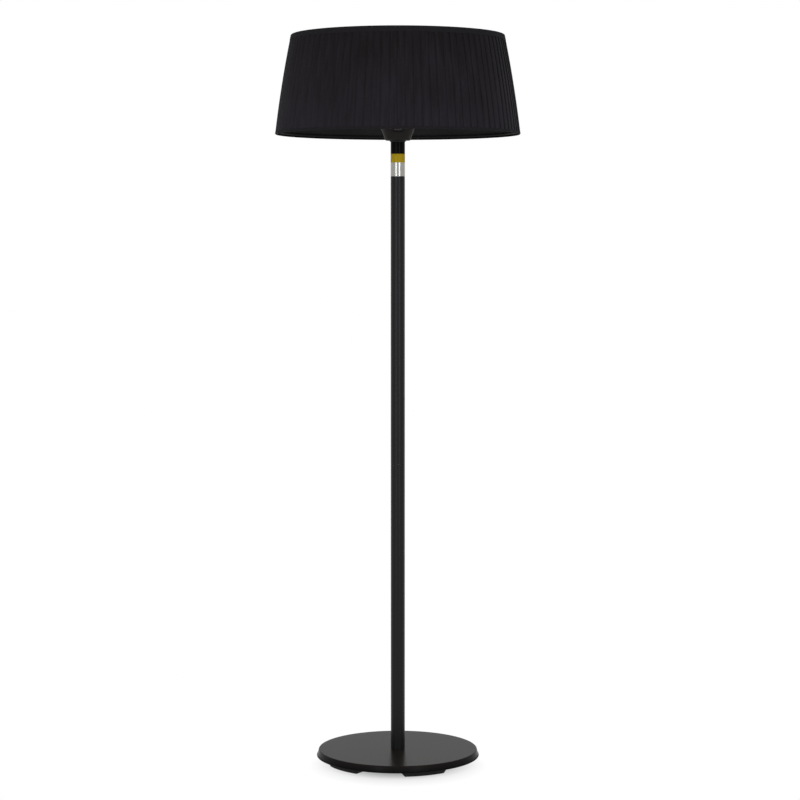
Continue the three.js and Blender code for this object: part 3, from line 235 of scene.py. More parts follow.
class HeadSettings(PropertyGroup):
    sheet: length("Sheet", "Thickness of the reflector and of the housing", 1.2)
    reflector_bore: length("Reflector Bore", "Radius of the hole round the collar", 46)
    reflector_flange: length("Reflector Flange", "Radius where the inner cone starts", 60.8)
    ceiling_inner: length("Ceiling From", "Radius where the flat ceiling starts", 96.5)
    ceiling_outer: length("Ceiling To", "Radius where the flat ceiling ends", 179.6)
    reflector_rim: length("Reflector Rim", "Radius where the outer flange starts", 213)
    housing_lip: length("Housing Lip", "Width of the housing's turned-in lip", 7.5)
    housing_skirt: length("Housing Skirt", "Height of the housing's straight skirt", 46)
    crown_flat: length("Crown Flat", "Radius of the flat of the housing's crown", 40)
    vents: whole("Vents", "Slots in the housing's crown", 16)
    vent_width: length("Vent Width", "Width of a slot", 5)
    vent_length: length("Vent Length", "Length of a slot", 34)
    vent_radius: length("Vent Radius", "From the axis to the middle of a slot", 140)
    lamps: whole("Lamps", "Quartz lamps in the reflector", 3)
    lamp_radius: length("Lamp Radius", "Radius of a lamp's glass", 5.5)
    lamp_wall: length("Lamp Wall", "Thickness of a lamp's glass", 1.1)
    lamp_length: length("Lamp Length", "Length of a lamp's glass", 210)
    lamp_reach: length("Lamp Reach", "From the axis to the middle of a lamp", 118)
    coil_radius: length("Coil Radius", "Radius of the filament's coil", 2)
    coil_wire: length("Coil Wire", "Radius of the filament's wire", 0.3)
    coil_turns: whole("Coil Turns", "Turns of a filament", 90)
    cap_radius: length("Cap Radius", "Radius of a lamp's cap", 7)
    cap_length: length("Cap Length", "Length of a lamp's cap", 25)
    cap_overlap: length("Cap Overlap", "Of a cap over the glass", 8)
    groove_pitch: length("Groove Pitch", "From one groove of a cap to the next", 3.4)
    groove_width: length("Groove Width", "Width of a cap's groove", 1.1)
    groove_depth: length("Groove Depth", "Depth of a cap's groove", 0.6)
    guard_rings: whole("Guard Rings", "Rings of the guard", 5)
    guard_spokes: whole("Guard Spokes", "Spokes of the guard", 12)
    guard_wire: length("Guard Wire", "Radius of the guard's wire", 1.5)
    guard_inner: length("Guard Bore", "Radius of the innermost ring", 54)
    guard_weld: length("Guard Weld", "How deep crossing wires are fused", 0.6)
    plate: length("Bracket Plate", "Thickness of the lamp brackets", 1.8)
    strap_width: length("Strap Width", "Width of a bracket's strap", 15)
    ear_width: length("Ear Width", "Width of a bracket's ears", 20)
    ear_inset: length("Ear Inset", "From a cap's outer end to its ear", 10)
    clips: whole("Clips", "Clips that hold the guard", 3)
    clip_width: length("Clip Width", "Width of a guard clip", 14)
    clip_height: length("Clip Height", "Height of a clip's back", 16)
    clip_plate: length("Clip Plate", "Thickness of a clip", 1.5)
    clip_hook: length("Clip Hook", "Of a clip past the guard's ring", 1)


class CarrierSettings(PropertyGroup):
    ring_wire: length("Ring Wire", "Radius of the shade's hoops", 2.5)
    stud_bore: length("Stud Bore", "Radius of the holes for the stud", 5.3)
    hub_plate: length("Hub Plate", "Thickness of the spider's hub", 4)
    boss_radius: length("Hub Boss", "Radius of the hub's boss", 12)
    arms: whole("Arms", "Arms of the spider", 4)
    arm_radius: length("Arm Radius", "Radius of an arm", 2.5)
    arm_bend: length("Arm Bend", "From the axis to an arm's bend", 60)
    arm_curve: length("Arm Curve", "Radius of an arm's bend", 32)
    flutes: whole("Flutes", "Flutes of the finial nut", 8)
    flute_depth: length("Flute Depth", "Depth of a flute", 1.6)
    finial_crown: length("Finial Crown", "Solid part over the finial's blind hole", 4)


class ShadeSettings(PropertyGroup):
    top_radius: length("Top Radius", "Radius of the upper rim", 261.2)
    bottom_radius: length("Bottom Radius", "Radius of the lower rim", 300.5)
    pleats: whole("Pleats", "Knife pleats round the shade", 92)
    steps: whole("Steps", "Points across one pleat", 14)
    rows: whole("Rows", "Rows of points up the cloth", 14)
    pleat_depth: length("Pleat Depth", "From a fold's crest to its foot", 2.2)
    bulge: length("Bulge", "How far the sides swell past a straight line", 2.5)
    cloth: length("Cloth", "Thickness of the cloth", 0.4)
    wander: FloatProperty(
        name="Wander", description="How unevenly the pleats are laid, as a share of one", default=0.08
    )
    top_hem: length("Top Hem", "Height of the upper tape", 14)
    bottom_hem: length("Bottom Hem", "Height of the lower tape", 6)
    hem_wall: length("Hem Wall", "Thickness of the tape", 1)
    hem_leg: length("Hem Leg", "How far the tape turns in over the liner", 3.3)
    hem_fold: length("Hem Fold", "Radius of the tape's fold over the rim", 2.2)
    hem_tuck: length("Hem Tuck", "Of the cloth's ends behind the tapes", 2.5)
    liner_wall: length("Liner Wall", "Thickness of the liner", 1.2)
    liner_inset: length("Liner Inset", "From the pleats' crests to the liner", 4.1)
    seed: whole("Seed", "For the unevenness of the pleats", 7)


# ------------------------------------------------------------------ mesh tools

def filleted(corners, steps=4):
    """A closed outline of (radius, height, fillet) corners, with each corner rounded by an arc."""
    outline = []
    points = [Vector(corner[:2]) for corner in corners]
    for i, point in enumerate(points):
        fillet = corners[i][2] if len(corners[i]) > 2 else 0
        before = points[i - 1] - point
        after = points[(i + 1) % len(points)] - point
        corner = before.angle(after)
        nearly_straight = corner > math.pi - 0.02
        if fillet <= 0 or nearly_straight:
            outline.append(tuple(point))
            continue
        before_way, after_way = before.normalized(), after.normalized()
        room = 0.49 * min(before.length, after.length)
        back = min(fillet / math.tan(corner / 2), room)
        radius = back * math.tan(corner / 2)
        centre = point + (before_way + after_way).normalized() * (radius / math.sin(corner / 2))
        start = point + before_way * back - centre
        end = point + after_way * back - centre
        sweep = start.angle_signed(end)
        for k in range(steps + 1):
            angle = -sweep * k / steps
            c, s = math.cos(angle), math.sin(angle)
            outline.append((centre.x + start.x * c - start.y * s, centre.y + start.x * s + start.y * c))
    return outline


def shade(mesh, crease=math.radians(32)):
    """Smooth shading that keeps edges sharper than `crease` hard."""
    mesh.polygons.foreach_set("use_smooth", [True] * len(mesh.polygons))
    mesh.set_sharp_from_angle(angle=crease)
    mesh.update()


def in_scene(name, mesh):
    """The object of a mesh, shaded and linked to the scene."""
    shade(mesh)
    piece = bpy.data.objects.new(name, mesh)
    bpy.context.scene.collection.objects.link(piece)
    return piece


def mesh_object(name, vertices, faces, uvs=None):
    """A mesh of points and faces. uvs has one pair for each corner of each face."""
    mesh = bpy.data.meshes.new(name)
    mesh.from_pydata([tuple(v) for v in vertices], [], faces)
    if uvs is not None:
        layer = mesh.uv_layers.new(name="UVMap")
        layer.data.foreach_set("uv", np.asarray(uvs, np.float32).ravel())
    return in_scene(name, mesh)


def beside(line, distance):
    """The points of an open line moved to its left."""
    moved_line = []
    for i, point in enumerate(map(Vector, line)):
        steps = [point - Vector(line[i - 1])] if i else []
        steps += [Vector(line[i + 1]) - point] if i + 1 < len(line) else []
        sides = [Vector((-step.y, step.x)).normalized() for step in steps]
        side = sum(sides, Vector((0, 0))).normalized()
        moved_line.append(tuple(point + side * distance / side.dot(sides[0])))
    return moved_line


def bent_sheet(corners, wall, steps=6):
    """The outline of a sheet bent along an open row of (radius, height, fillet) corners, with its
    wall to the left of them. The two ends have no fillet."""
    line = filleted(corners, steps)
    return line + beside(line, wall)[::-1]


def revolved(name, outline, segments=128, radius_at=None):
    """A closed outline of (radius, height) pairs turned about the Z axis, from the front round to +X.
    The UV map runs round the axis and along the outline, in metres. radius_at(angle, radius) may
    change the radius. Points on the axis become poles."""
    points = [tuple(p) for p in outline]
    count = len(points)
    area = sum(r * points[(i + 1) % count][1] - points[(i + 1) % count][0] * z
               for i, (r, z) in enumerate(points))
    if area < 0:
        points.reverse()
    along = [0.0]
    for i in range(count):
        along.append(along[-1] + (Vector(points[(i + 1) % count]) - Vector(points[i])).length)
    girth = math.tau * max(r for r, _ in points)
    vertices, faces, uvs, number = [], [], [], {}
    for s, angle in enumerate(angles(segments)):
        for i, (r, z) in enumerate(points):
            if r == 0 and s:
                number[s, i] = number[0, i]
                continue
            radius = radius_at(angle, r) if radius_at else r
            number[s, i] = len(vertices)
            vertices.append((radius * math.sin(angle), -radius * math.cos(angle), z))
    for s in range(segments):
        after = (s + 1) % segments
        left, right = (girth * k / segments for k in (s, s + 1))
        for i in range(count):
            j = (i + 1) % count
            ring = {
                number[s, i]: (left, along[i]), number[after, i]: (right, along[i]),
                number[after, j]: (right, along[i + 1]), number[s, j]: (left, along[i + 1]),
            }
            if len(ring) > 2:
                faces.append(tuple(ring))
                uvs += ring.values()
    return mesh_object(name, vertices, faces, uvs)


def tube(name, inner, outer, bottom, top, segments=96, edge=0.0):
    corners = [(inner, bottom, edge), (outer, bottom, edge), (outer, top, edge), (inner, top, edge)]
    return revolved(name, filleted(corners, 2), segments)


def swept(name, route, radius, sides=12):
    """A round bar along a row of points, closed by a flat cap at each end."""
    points = [Vector(p) for p in route]
    final = len(points) - 1
    across = None
    rings, along = [], 0.0
    vertices, faces, uvs = [], [], []
    for i, point in enumerate(points):
        way = (points[min(i + 1, final)] - points[max(i - 1, 0)]).normalized()
        across = across or way.orthogonal().normalized()
        across = (across - way * across.dot(way)).normalized()
        up = way.cross(across)
        along += (point - points[i - 1]).length if i else 0.0
        rings.append(along)
        for angle in angles(sides):
            vertices.append(point + radius * (across * math.cos(angle) + up * math.sin(angle)))
    girth = math.tau * radius
    for i in range(final):
        for k in range(sides):
            n = (k + 1) % sides
            faces.append((i * sides + k, i * sides + n, (i + 1) * sides + n, (i + 1) * sides + k))
            left, right = girth * k / sides, girth * (k + 1) / sides
            uvs += [(left, rings[i]), (right, rings[i]), (right, rings[i + 1]), (left, rings[i + 1])]
    faces.append(tuple(reversed(range(sides))))
    faces.append(tuple(range(final * sides, final * sides + sides)))
    uvs += [(0.0, 0.0)] * (2 * sides)
    return mesh_object(name, vertices, faces, uvs)


def shaped(name, shape, place=Matrix.Identity(4)):
    """The object of a bmesh, which it uses up, set down by the matrix `place`."""
    bmesh.ops.transform(shape, matrix=place, verts=shape.verts)
    mesh = bpy.data.meshes.new(name)
    shape.to_mesh(mesh)
    shape.free()
    return in_scene(name, mesh)


def rounded(shape, edges, radius, steps):
    bmesh.ops.bevel(shape, geom=edges, offset=radius, segments=steps, profile=0.5, affect="EDGES")


def rounded_box(name, size, edge, place=Matrix.Identity(4), steps=2):
    """A block with rounded edges, `size` along its own X, Y and Z."""
    shape = bmesh.new()
    bmesh.ops.create_cube(shape, size=1, matrix=Matrix.Diagonal((*size, 1)))
    if edge:
        rounded(shape, shape.edges[:], edge, steps)
    return shaped(name, shape, place)


def lofted(loops):
    """A bmesh through a row of closed loops with as many points each, and its two end caps."""
    shape = bmesh.new()
    rows = [[shape.verts.new(point) for point in loop] for loop in loops]
    for one, two in zip(rows, rows[1:]):
        for k in range(len(one)):
            shape.faces.new((one[k - 1], one[k], two[k], two[k - 1]))
    caps = [shape.faces.new(rows[0]), shape.faces.new(rows[-1][::-1])]
    bmesh.ops.recalc_face_normals(shape, faces=shape.faces)
    return shape, caps


def extruded(name, outline, width, edge, place=Matrix.Identity(4), steps=2):
    """A closed outline of (Y, Z) points drawn out along X, with the rims of its two ends rounded."""
    shape, caps = lofted([[(x, y, z) for y, z in outline] for x in (-width / 2, width / 2)])
    rounded(shape, [rim for cap in caps for rim in cap.edges], edge, steps)
    return shaped(name, shape, place)


def joined(name, parts):
    """One object that holds the meshes of several."""
    shape = bmesh.new()
    for part in parts:
        shape.from_mesh(part.data)
        bpy.data.objects.remove(part)
    return shaped(name, shape)


def moved(piece, place):
    piece.data.transform(place)
    return piece


def turned(piece, angle):
    """Turns a finished mesh about the Z axis, from the front towards +X."""
    return moved(piece, Matrix.Rotation(angle, 4, "Z"))


def baked(piece):
    """The piece with its modifiers' result as its own plain mesh."""
    graph = bpy.context.evaluated_depsgraph_get()
    mesh = bpy.data.meshes.new_from_object(piece.evaluated_get(graph))
    piece.modifiers.clear()
    piece.data = mesh
    return piece


def carved(piece, cutters, operation="DIFFERENCE"):
    """The piece with the cutters taken out of it, or added to it by a UNION."""
    for cutter in cutters:
        modifier = piece.modifiers.new("cut", "BOOLEAN")
        modifier.operation = operation
        modifier.solver = "EXACT"
        modifier.object = cutter
        baked(piece)
        bpy.data.objects.remove(cutter)
    shade(piece.data)
    return piece


def finished(piece, finish, node=None, body="heater"):
    """Gives a piece its finish and its body, and hides the CAD node that it stands for."""
    piece.data.materials.clear()
    piece.data.materials.append(material(finish))
    even = piece.modifiers.new("even_shading", "WEIGHTED_NORMAL")
    even.keep_sharp = True
    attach(piece, body)
    if node:
        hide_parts(node)
    return piece


# ------------------------------------------------------------------ node tools

class Value:
    """What a node gives. Working with it by +, -, * or / adds the node that does so in the tree."""

    def __init__(self, tree, socket):
        self.tree, self.socket = tree, socket

    def __add__(self, other):
        return self.tree.math("ADD", self, other)

    def __sub__(self, other):
        return self.tree.math("SUBTRACT", self, other)

    def __rsub__(self, other):
        return self.tree.math("SUBTRACT", other, self)

    def __mul__(self, other):
        return self.tree.math("MULTIPLY", self, other)

    def __truediv__(self, other):
        return self.tree.math("DIVIDE", self, other)


class Tree:
    """Short calls for building a node tree from left to right."""

    column_width = 190

    def __init__(self, tree):
        self.tree = tree

    def add(self, kind, inputs=None, **settings):
        node = self.tree.nodes.new(kind)
        node.location.x = self.column_width * len(self.tree.nodes)
        for key, value in settings.items():
            setattr(node, key, value)
        for key, value in (inputs or {}).items():
            self.feed(node.inputs[key], value)
        return node

    def out(self, kind, inputs=None, output=0, **settings):
        """What one output of a new node gives."""
        return Value(self, self.add(kind, inputs, **settings).outputs[output])

    def feed(self, socket, value):
        if isinstance(value, Value):
            self.tree.links.new(value.socket, socket)
        else:
            socket.default_value = value

    def math(self, operation, *values):
        return self.out("ShaderNodeMath", dict(enumerate(values)), operation=operation)

    def remap(self, value, low_in, high_in, low_out, high_out):
        return self.out("ShaderNodeMapRange", {
            "Value": value, "From Min": low_in, "From Max": high_in,
            "To Min": low_out, "To Max": high_out,
        })

    def vector(self, x, y, z):
        return self.out("ShaderNodeCombineXYZ", {"X": x, "Y": y, "Z": z})

    def split(self, vector):
        sockets = self.add("ShaderNodeSeparateXYZ", {"Vector": vector}).outputs
        return [Value(self, socket) for socket in sockets]

    def length(self, x, y):
        return self.math("SQRT", x * x + y * y)


class Finish(Tree):
    """A material round one Principled shader, with short calls for the patterns that feed it."""

    def __init__(self, base, roughness, metallic=0.0, **constants):
        self.material = bpy.data.materials.new("finish")
        self.material.use_nodes = True
        super().__init__(self.material.node_tree)
        self.shader = self.tree.nodes["Principled BSDF"].inputs
        self.base = base
        self.shader["Base Color"].default_value = (*base, 1.0)
        self.shader["Roughness"].default_value = roughness
        self.shader["Metallic"].default_value = metallic
        for key, value in constants.items():
            self.shader[key.replace("_", " ")].default_value = value
        self.relief = None

    def place(self):
        return self.out("ShaderNodeTexCoord", output="Object")

    def map(self):
        return self.out("ShaderNodeUVMap", output="UV", uv_map="UVMap")

    def noise(self, where, scale, detail=2.0, distortion=0.0):
        return self.out("ShaderNodeTexNoise", {
            "Vector": where, "Scale": scale, "Detail": detail, "Distortion": distortion,
        })

    def blend_colour(self, share, low_colour, high_colour):
        """One colour at a share of 0, drawn into the other where the share nears 1."""
        ends = {6: (*low_colour, 1.0), 7: (*high_colour, 1.0)}
        mix = self.out("ShaderNodeMix", {0: share, **ends}, 2, data_type="RGBA")
        self.feed(self.shader["Base Color"], mix)

    def vary_colour(self, share, low_level, high_level):
        """The base colour made darker and lighter where `share` runs from 0 to 1."""
        self.blend_colour(share, *([c * level for c in self.base] for level in (low_level, high_level)))

    def vary_roughness(self, share, low_level, high_level):
        self.feed(self.shader["Roughness"], self.remap(share, 0, 1, low_level, high_level))

    def bump(self, height, distance, strength=1.0):
        """Raises the skin by a height, over what raised it before."""
        before = {"Normal": self.relief} if self.relief else {}
        self.relief = self.out("ShaderNodeBump", {
            "Height": height, "Distance": distance, "Strength": strength, **before,
        })
        self.feed(self.shader["Normal"], self.relief)


class Shape(Tree):
    """A Geometry Nodes tree with named inputs, put on a piece and then turned into its plain mesh."""

    sockets = {float: "NodeSocketFloat", int: "NodeSocketInt", bpy.types.Material: "NodeSocketMaterial"}

    def __init__(self, name, values):
        super().__init__(bpy.data.node_groups.new(name, "GeometryNodeTree"))
        self.values = {}
        face = self.tree.interface
        for way in ("INPUT", "OUTPUT"):
            face.new_socket("Geometry", in_out=way, socket_type="NodeSocketGeometry")
        for key, value in values.items():
            socket = face.new_socket(key, in_out="INPUT", socket_type=self.sockets[type(value)])
            self.values[socket.identifier] = value
        outputs = self.add("NodeGroupInput").outputs
        self.given = {socket.name: Value(self, socket) for socket in outputs}

    def joined(self, parts):
        node = self.add("GeometryNodeJoinGeometry")
        for part in parts:
            self.feed(node.inputs[0], part)
        return Value(self, node.outputs[0])

    def shifted(self, thing, x, y, z):
        return self.out("GeometryNodeTransform", {"Geometry": thing, "Translation": self.vector(x, y, z)})

    def around(self, thing, count, phase=0.0):
        """Copies of a thing, made at the front or on the axis, set evenly round the Z axis."""
        spots = self.out("GeometryNodeMeshLine", {"Count": count, "Offset": (0.0, 0.0, 0.0)})
        turn = self.out("GeometryNodeInputIndex") * math.tau / count
        return self.out("GeometryNodeInstanceOnPoints", {
            "Points": spots, "Instance": thing, "Rotation": self.vector(0.0, 0.0, turn + phase),
        })

    def wire(self, lines, radius, sides):
        """Round wire along curves, closed at its ends."""
        profile = self.out("GeometryNodeCurvePrimitiveCircle", {"Resolution": sides, "Radius": radius})
        return self.out("GeometryNodeCurveToMesh", {
            "Curve": lines, "Profile Curve": profile, "Fill Caps": True,
        })

    def finish(self, geometry):
        real = self.out("GeometryNodeRealizeInstances", {"Geometry": geometry})
        even = self.out("GeometryNodeSetShadeSmooth", {"Geometry": real, "Shade Smooth": True})
        coat = self.out("GeometryNodeSetMaterial", {"Geometry": even, "Material": self.given["Material"]})
        self.add("NodeGroupOutput", {"Geometry": coat})
        return self

    def put_on(self, piece):
        modifier = piece.modifiers.new(self.tree.name, "NODES")
        modifier.node_group = self.tree
        for identifier, value in self.values.items():
            modifier[identifier] = value
        return piece


def blank(name):
    """An empty mesh for a Geometry Nodes tree to fill."""
    return mesh_object(name, [], [])


# ------------------------------------------------------------------ finishes

def grained(base, roughness, tone, gloss, relief=None, **constants):
    """A plain finish that noise makes uneven. `tone` and `gloss` say how its colour and roughness
    wander, as (noise scale, detail, least, most), and `relief` how its skin is raised, as (noise
    scale, detail, height, strength). A distortion of the noise may follow its detail."""
    skin = Finish(base, roughness, **constants)
    where = skin.place()
    for pattern, vary in ((tone, skin.vary_colour), (gloss, skin.vary_roughness), (relief, skin.bump)):
        if pattern:
            *noise, one, two = pattern
            vary(skin.noise(where, *noise), one, two)
    return skin.material


def powder_skin(base, level, roughness, relief):
    """Fine-textured powder coat: an even satin with a pebbled skin under a millimetre across."""
    coat = Finish(base, roughness, Specular_IOR_Level=level)
    where = coat.place()
    pebbles = coat.noise(where, 1300, 3.0)
    coat.vary_roughness(pebbles, roughness - 0.06, roughness + 0.06)
    coat.bump(pebbles, relief, 0.35)
    return coat, where


def powder_coat(coats):
    """The base's cover: a warm black coat, whose skirt is painted darker and colder as painted shade."""
    coat, where = powder_skin(coats.powder, 0.025, 0.27, 0.1 * MM)
    _, _, height = coat.split(where)
    # Painted shade: below the cover's top edge the colour is drawn towards a colder near-black, srgb(17, 16,
    # 16), darker towards the floor.
    top = coat.remap(height, 17 * MM, 29 * MM, -0.2, 0.75)
    cloud = coat.noise(where, 9, 3.0) * 0.3
    coat.blend_colour(cloud + top, srgb(17, 16, 16), coats.powder)
    return coat.material


def pole_coat(coats):
    """The pole's tubes and the housing, glossier than the base."""
    coat, where = powder_skin(coats.pole, 0.15, 0.34, 0.03 * MM)
    coat.vary_colour(coat.noise(where, 9, 3.0), 0.92, 1.08)
    return coat.material


def satin_black(coats):
    """Smooth satin enamel. Near the floor its colour is drawn towards near-black, as painted shade on the
    tray.
    """
    coat = Finish(coats.satin, 0.5, Specular_IOR_Level=0.06)
    where = coat.place()
    grain = coat.noise(where, 1900, 2.0)
    _, _, height = coat.split(where)
    # Painted shade: low down, near the floor, the colour is darkened towards srgb(12, 11, 11).
    painted_height_shade = coat.remap(height, 20 * MM, 200 * MM, -0.6, 0.85)
    cloud = coat.noise(where, 14, 2.0) * 0.3
    coat.blend_colour(cloud + painted_height_shade, srgb(12, 11, 11), coats.satin)
    coat.vary_roughness(grain, 0.42, 0.58)
    coat.bump(grain, 0.08 * MM, 0.4)
    return coat.material


def hoop_enamel(coats):
    """The duller enamel of the shade's hoops, rubbed by the cloth."""
    return grained(coats.hoops, 0.62, (40, 3.0, 0.85, 1.15), (1900, 2.0, 0.55, 0.7),
                   (1900, 2.0, 0.08 * MM, 0.4), Specular_IOR_Level=0.03)


def switch_plastic(coats):
    """The switch's frame, with the fine spark-eroded grain of its mould."""
    return grained(coats.plastic, 0.46, (60, 2.0, 0.94, 1.06), (3200, 1.0, 0.4, 0.54),
                   (3200, 1.0, 0.04 * MM, 0.4), Specular_IOR_Level=0.08)


def rocker_gloss(coats):
    """The polished plastic of the rocker, a little worn."""
    return grained(coats.plastic, 0.24, (60, 2.0, 0.94, 1.06), (240, 3.0, 0.2, 0.32),
                   (90, 2.0, 0.05 * MM, 0.3))


def rubber(coats):
    """Matt moulded rubber with a dusty bloom."""
    return grained(coats.rubber, 0.8, (55, 4.0, 0.85, 1.2), (55, 4.0, 0.7, 0.9),
                   (1500, 2.0, 0.1 * MM, 0.5), Specular_IOR_Level=0.3)


def shade_cloth(coats):
    """Plain-woven polyester: crossing threads in the cloth's own UV map, with a soft sheen, and painted
    light that makes the lower cloth lighter.
    """
    cloth = Finish(
        coats.cloth, 0.85, Specular_IOR_Level=0.05,
        Sheen_Weight=0.03, Sheen_Roughness=0.45, Sheen_Tint=(0.8, 0.78, 0.9, 1.0),
    )
    x, y, z = cloth.split(cloth.place())
    angle = cloth.math("ARCTAN2", y, x)
    drift = cloth.noise(cloth.vector(angle, z * 0.35, 0.0), 34, 1.0)
    patch = cloth.noise(cloth.vector(angle, z * 3.0, 0.0), 2.2, 1.0)
    bands = cloth.remap(drift, 0.3, 0.7, -0.2, 0.2) + (patch * 0.5 - 0.25)
    # Painted light: the cloth is painted lighter towards its lower rim and darker towards its top, as if lit
    # by the floor below.
    lower = cloth.remap(z, 1.56, 1.77, 0.68, 0.16)
    across, up, _ = cloth.split(cloth.map())
    threads_per_metre = 2600
    warp, weft = (cloth.math("SINE", way * (threads_per_metre * math.pi)) for way in (across, up))
    weave = warp * weft
    slub = cloth.noise(cloth.map(), 130, 4.0) * 0.3 - 0.15
    # The dark colour srgb(24, 21, 21) serves both the random bands and the painted shade at the top.
    cloth.blend_colour(bands + (weave * 0.08 + slub) + lower, srgb(24, 21, 21), coats.cloth)
    cloth.bump(weave, 0.05 * MM, 0.5)
    return cloth.material


def hem_tape(coats):
    """Ribbed ribbon: fine cords across the tape, in its UV map. Its faces that look into the shade are
    painted darker, as painted shade.
    """
    tape = Finish(
        coats.tape, 0.9, Specular_IOR_Level=0.03,
        Sheen_Weight=0.02, Sheen_Roughness=0.4, Sheen_Tint=(0.8, 0.78, 0.85, 1.0),
    )
    across, _, _ = tape.split(tape.map())
    ribs_per_metre = 1500
    rib = tape.math("SINE", across * (math.tau * ribs_per_metre))
    cloud = tape.noise(tape.map(), 60, 3.0) * 0.5 - 0.25
    # Painted shade: faces turned towards the axis are drawn towards srgb(19, 18, 18), with random cloud on
    # top.
    x, y, _ = tape.split(tape.place())
    to_x, to_y, _ = tape.split(tape.out("ShaderNodeTexCoord", output="Normal"))
    outward = x * to_x + y * to_y
    share = tape.remap(outward, -0.1, 0.1, 0.0, 0.9) + cloud
    tape.blend_colour(rib * 0.1 + share, srgb(19, 18, 18), coats.tape)
    tape.bump(rib, 0.08 * MM, 0.5)
    return tape.material


def shade_liner(coats):
    """The heat-proof film on the inside of the shade, faintly mottled."""
    return grained(coats.liner, 0.62, (30, 4.0, 0.85, 1.15), (700, 3.0, 0.55, 0.7),
                   (700, 3.0, 0.08 * MM, 0.4), Specular_IOR_Level=0.06)


def wrap_film(coats):
    """Glossy film, with slight waves where it was rubbed down."""
    return grained(coats.film, 0.2, (260, 2.0, 0.9, 1.1), (70, 2.0, 0.14, 0.26),
                   (70, 2.0, 0.2 * MM, 0.25), Specular_IOR_Level=0.03)


def wrap_band(coats):
    """The same film in the band's plain colour, with a duller skin."""
    return grained(coats.band, 0.35, (500, 3.0, 0.9, 1.1), (70, 2.0, 0.3, 0.42),
                   (90, 2.0, 0.2 * MM, 0.25), Specular_IOR_Level=0.1)


def wrap_foil(coats):
    """Brushed silver foil, its fine lines running up the stem."""
    foil = Finish(coats.foil, 0.2, metallic=1.0, Anisotropic=0.3)
    where = foil.place()
    x, y, z = foil.split(where)
    lines = foil.noise(foil.vector(x, y, z * 0.02), 2600, 2.0)
    foil.vary_colour(lines, 0.86, 1.08)
    foil.vary_roughness(lines, 0.14, 0.26)
    foil.bump(foil.noise(where, 120, 2.0), 0.25 * MM, 0.35)
    foil.bump(lines, 0.03 * MM, 0.4)
    return foil.material


def spun_aluminium(coats):
    """Mirror-bright aluminium with the faint rings of its spinning."""
    metal = Finish(coats.aluminium, 0.16, metallic=1.0)
    where = metal.place()
    x, y, z = metal.split(where)
    rings = metal.noise(metal.vector(metal.length(x, y), 0.0, z), 900, 3.0)
    metal.vary_colour(metal.noise(where, 14, 3.0), 0.93, 1.03)
    metal.vary_roughness(rings, 0.1, 0.26)
    metal.bump(rings, 0.04 * MM, 0.5)
    return metal.material


def zinc_steel(coats):
    """Bright zinc plate, faintly spangled."""
    return grained(coats.zinc, 0.32, (160, 4.0, 0.6, 0.82, 1.08), (160, 4.0, 0.6, 0.24, 0.42),
                   (1200, 2.0, 0.04 * MM, 0.4), metallic=1.0)


def cast_iron(coats):
    """Rough grey iron with the grain of its sand mould."""
    return grained(coats.iron, 0.75, (25, 4.0, 0.75, 1.2), (420, 6.0, 0.65, 0.88),
                   (420, 6.0, 0.5 * MM, 0.7), metallic=0.5)


def flex_sheath(coats):
    """The satin black sheath of a rubber flex."""
    return grained(coats.sheath, 0.5, (90, 2.0, 0.9, 1.15), (600, 3.0, 0.42, 0.6),
                   (900, 2.0, 0.06 * MM, 0.4))


def ruby_quartz(coats):
    """Ruby-coated quartz glass, slightly uneven in its coat."""
    return grained(coats.quartz, 0.06, (40, 3.0, 0.8, 1.15), (300, 2.0, 0.03, 0.1),
                   (70, 2.0, 0.1 * MM, 0.3), IOR=1.46, Transmission_Weight=0.75)


def lamp_ceramic(coats):
    """Unglazed white ceramic, finely porous."""
    return grained(coats.ceramic, 0.7, (120, 3.0, 0.88, 1.04), (900, 4.0, 0.6, 0.82),
                   (900, 4.0, 0.1 * MM, 0.5))


def module_plastic(coats):
    """Matt moulded plastic of the electrical parts."""
    return grained(coats.modules, 0.5, (40, 2.0, 0.93, 1.03), (1400, 2.0, 0.42, 0.58),
                   (1400, 2.0, 0.06 * MM, 0.5))


def tungsten(coats):
    """Drawn tungsten wire, dull from its heat."""
    return grained(coats.tungsten, 0.45, (900, 2.0, 0.8, 1.1), (1500, 2.0, 0.38, 0.55), metallic=1.0)


FINISHES = {make.__name__: make for make in (
    powder_coat, pole_coat, satin_black, hoop_enamel, switch_plastic, rocker_gloss, rubber, shade_cloth,
    hem_tape, shade_liner, wrap_film, wrap_band, wrap_foil, spun_aluminium, zinc_steel, cast_iron,
    flex_sheath, ruby_quartz, lamp_ceramic, module_plastic, tungsten,
)}


def material(name):
    """The named finish, made when it is first asked for."""
    found = bpy.data.materials.get(name + "_finish")
    if not found:
        found = FINISHES[name](bpy.context.scene.heater_coats)
        found.name = name + "_finish"
    return found


# ------------------------------------------------------------------ stage

WHITE = (1, 1, 1, 1)


def seen_directly(tree):
    """1 for what the camera, reflections and glass see, and 0 for other light."""
    path = tree.add("ShaderNodeLightPath").outputs
    camera, glossy, glass = (
        Value(tree, path[f"Is {kind} Ray"]) for kind in ("Camera", "Glossy", "Transmission")
    )
    return tree.math("MAXIMUM", camera, tree.math("MAXIMUM", glossy, glass))


def end_tree(tree, output, share, *shaders):
    """Blends two shaders by a share and leads them to the tree's output."""
    mix = tree.out("ShaderNodeMixShader", {0: share, 1: shaders[0], 2: shaders[1]})
    tree.add(output, {"Surface": mix})


def studio_world(ambient):
    """Even ambient light, and plain white for what the camera, reflections and glass see."""
    world = bpy.data.worlds.new("studio")
    world.use_nodes = True
    tree = Tree(world.node_tree)
    tree.tree.nodes.clear()
    soft, white = (
        tree.out("ShaderNodeBackground", {"Color": WHITE, "Strength": level}) for level in (ambient, 1.0)
    )
    end_tree(tree, "ShaderNodeOutputWorld", seen_directly(tree), soft, white)
    bpy.context.scene.world = world


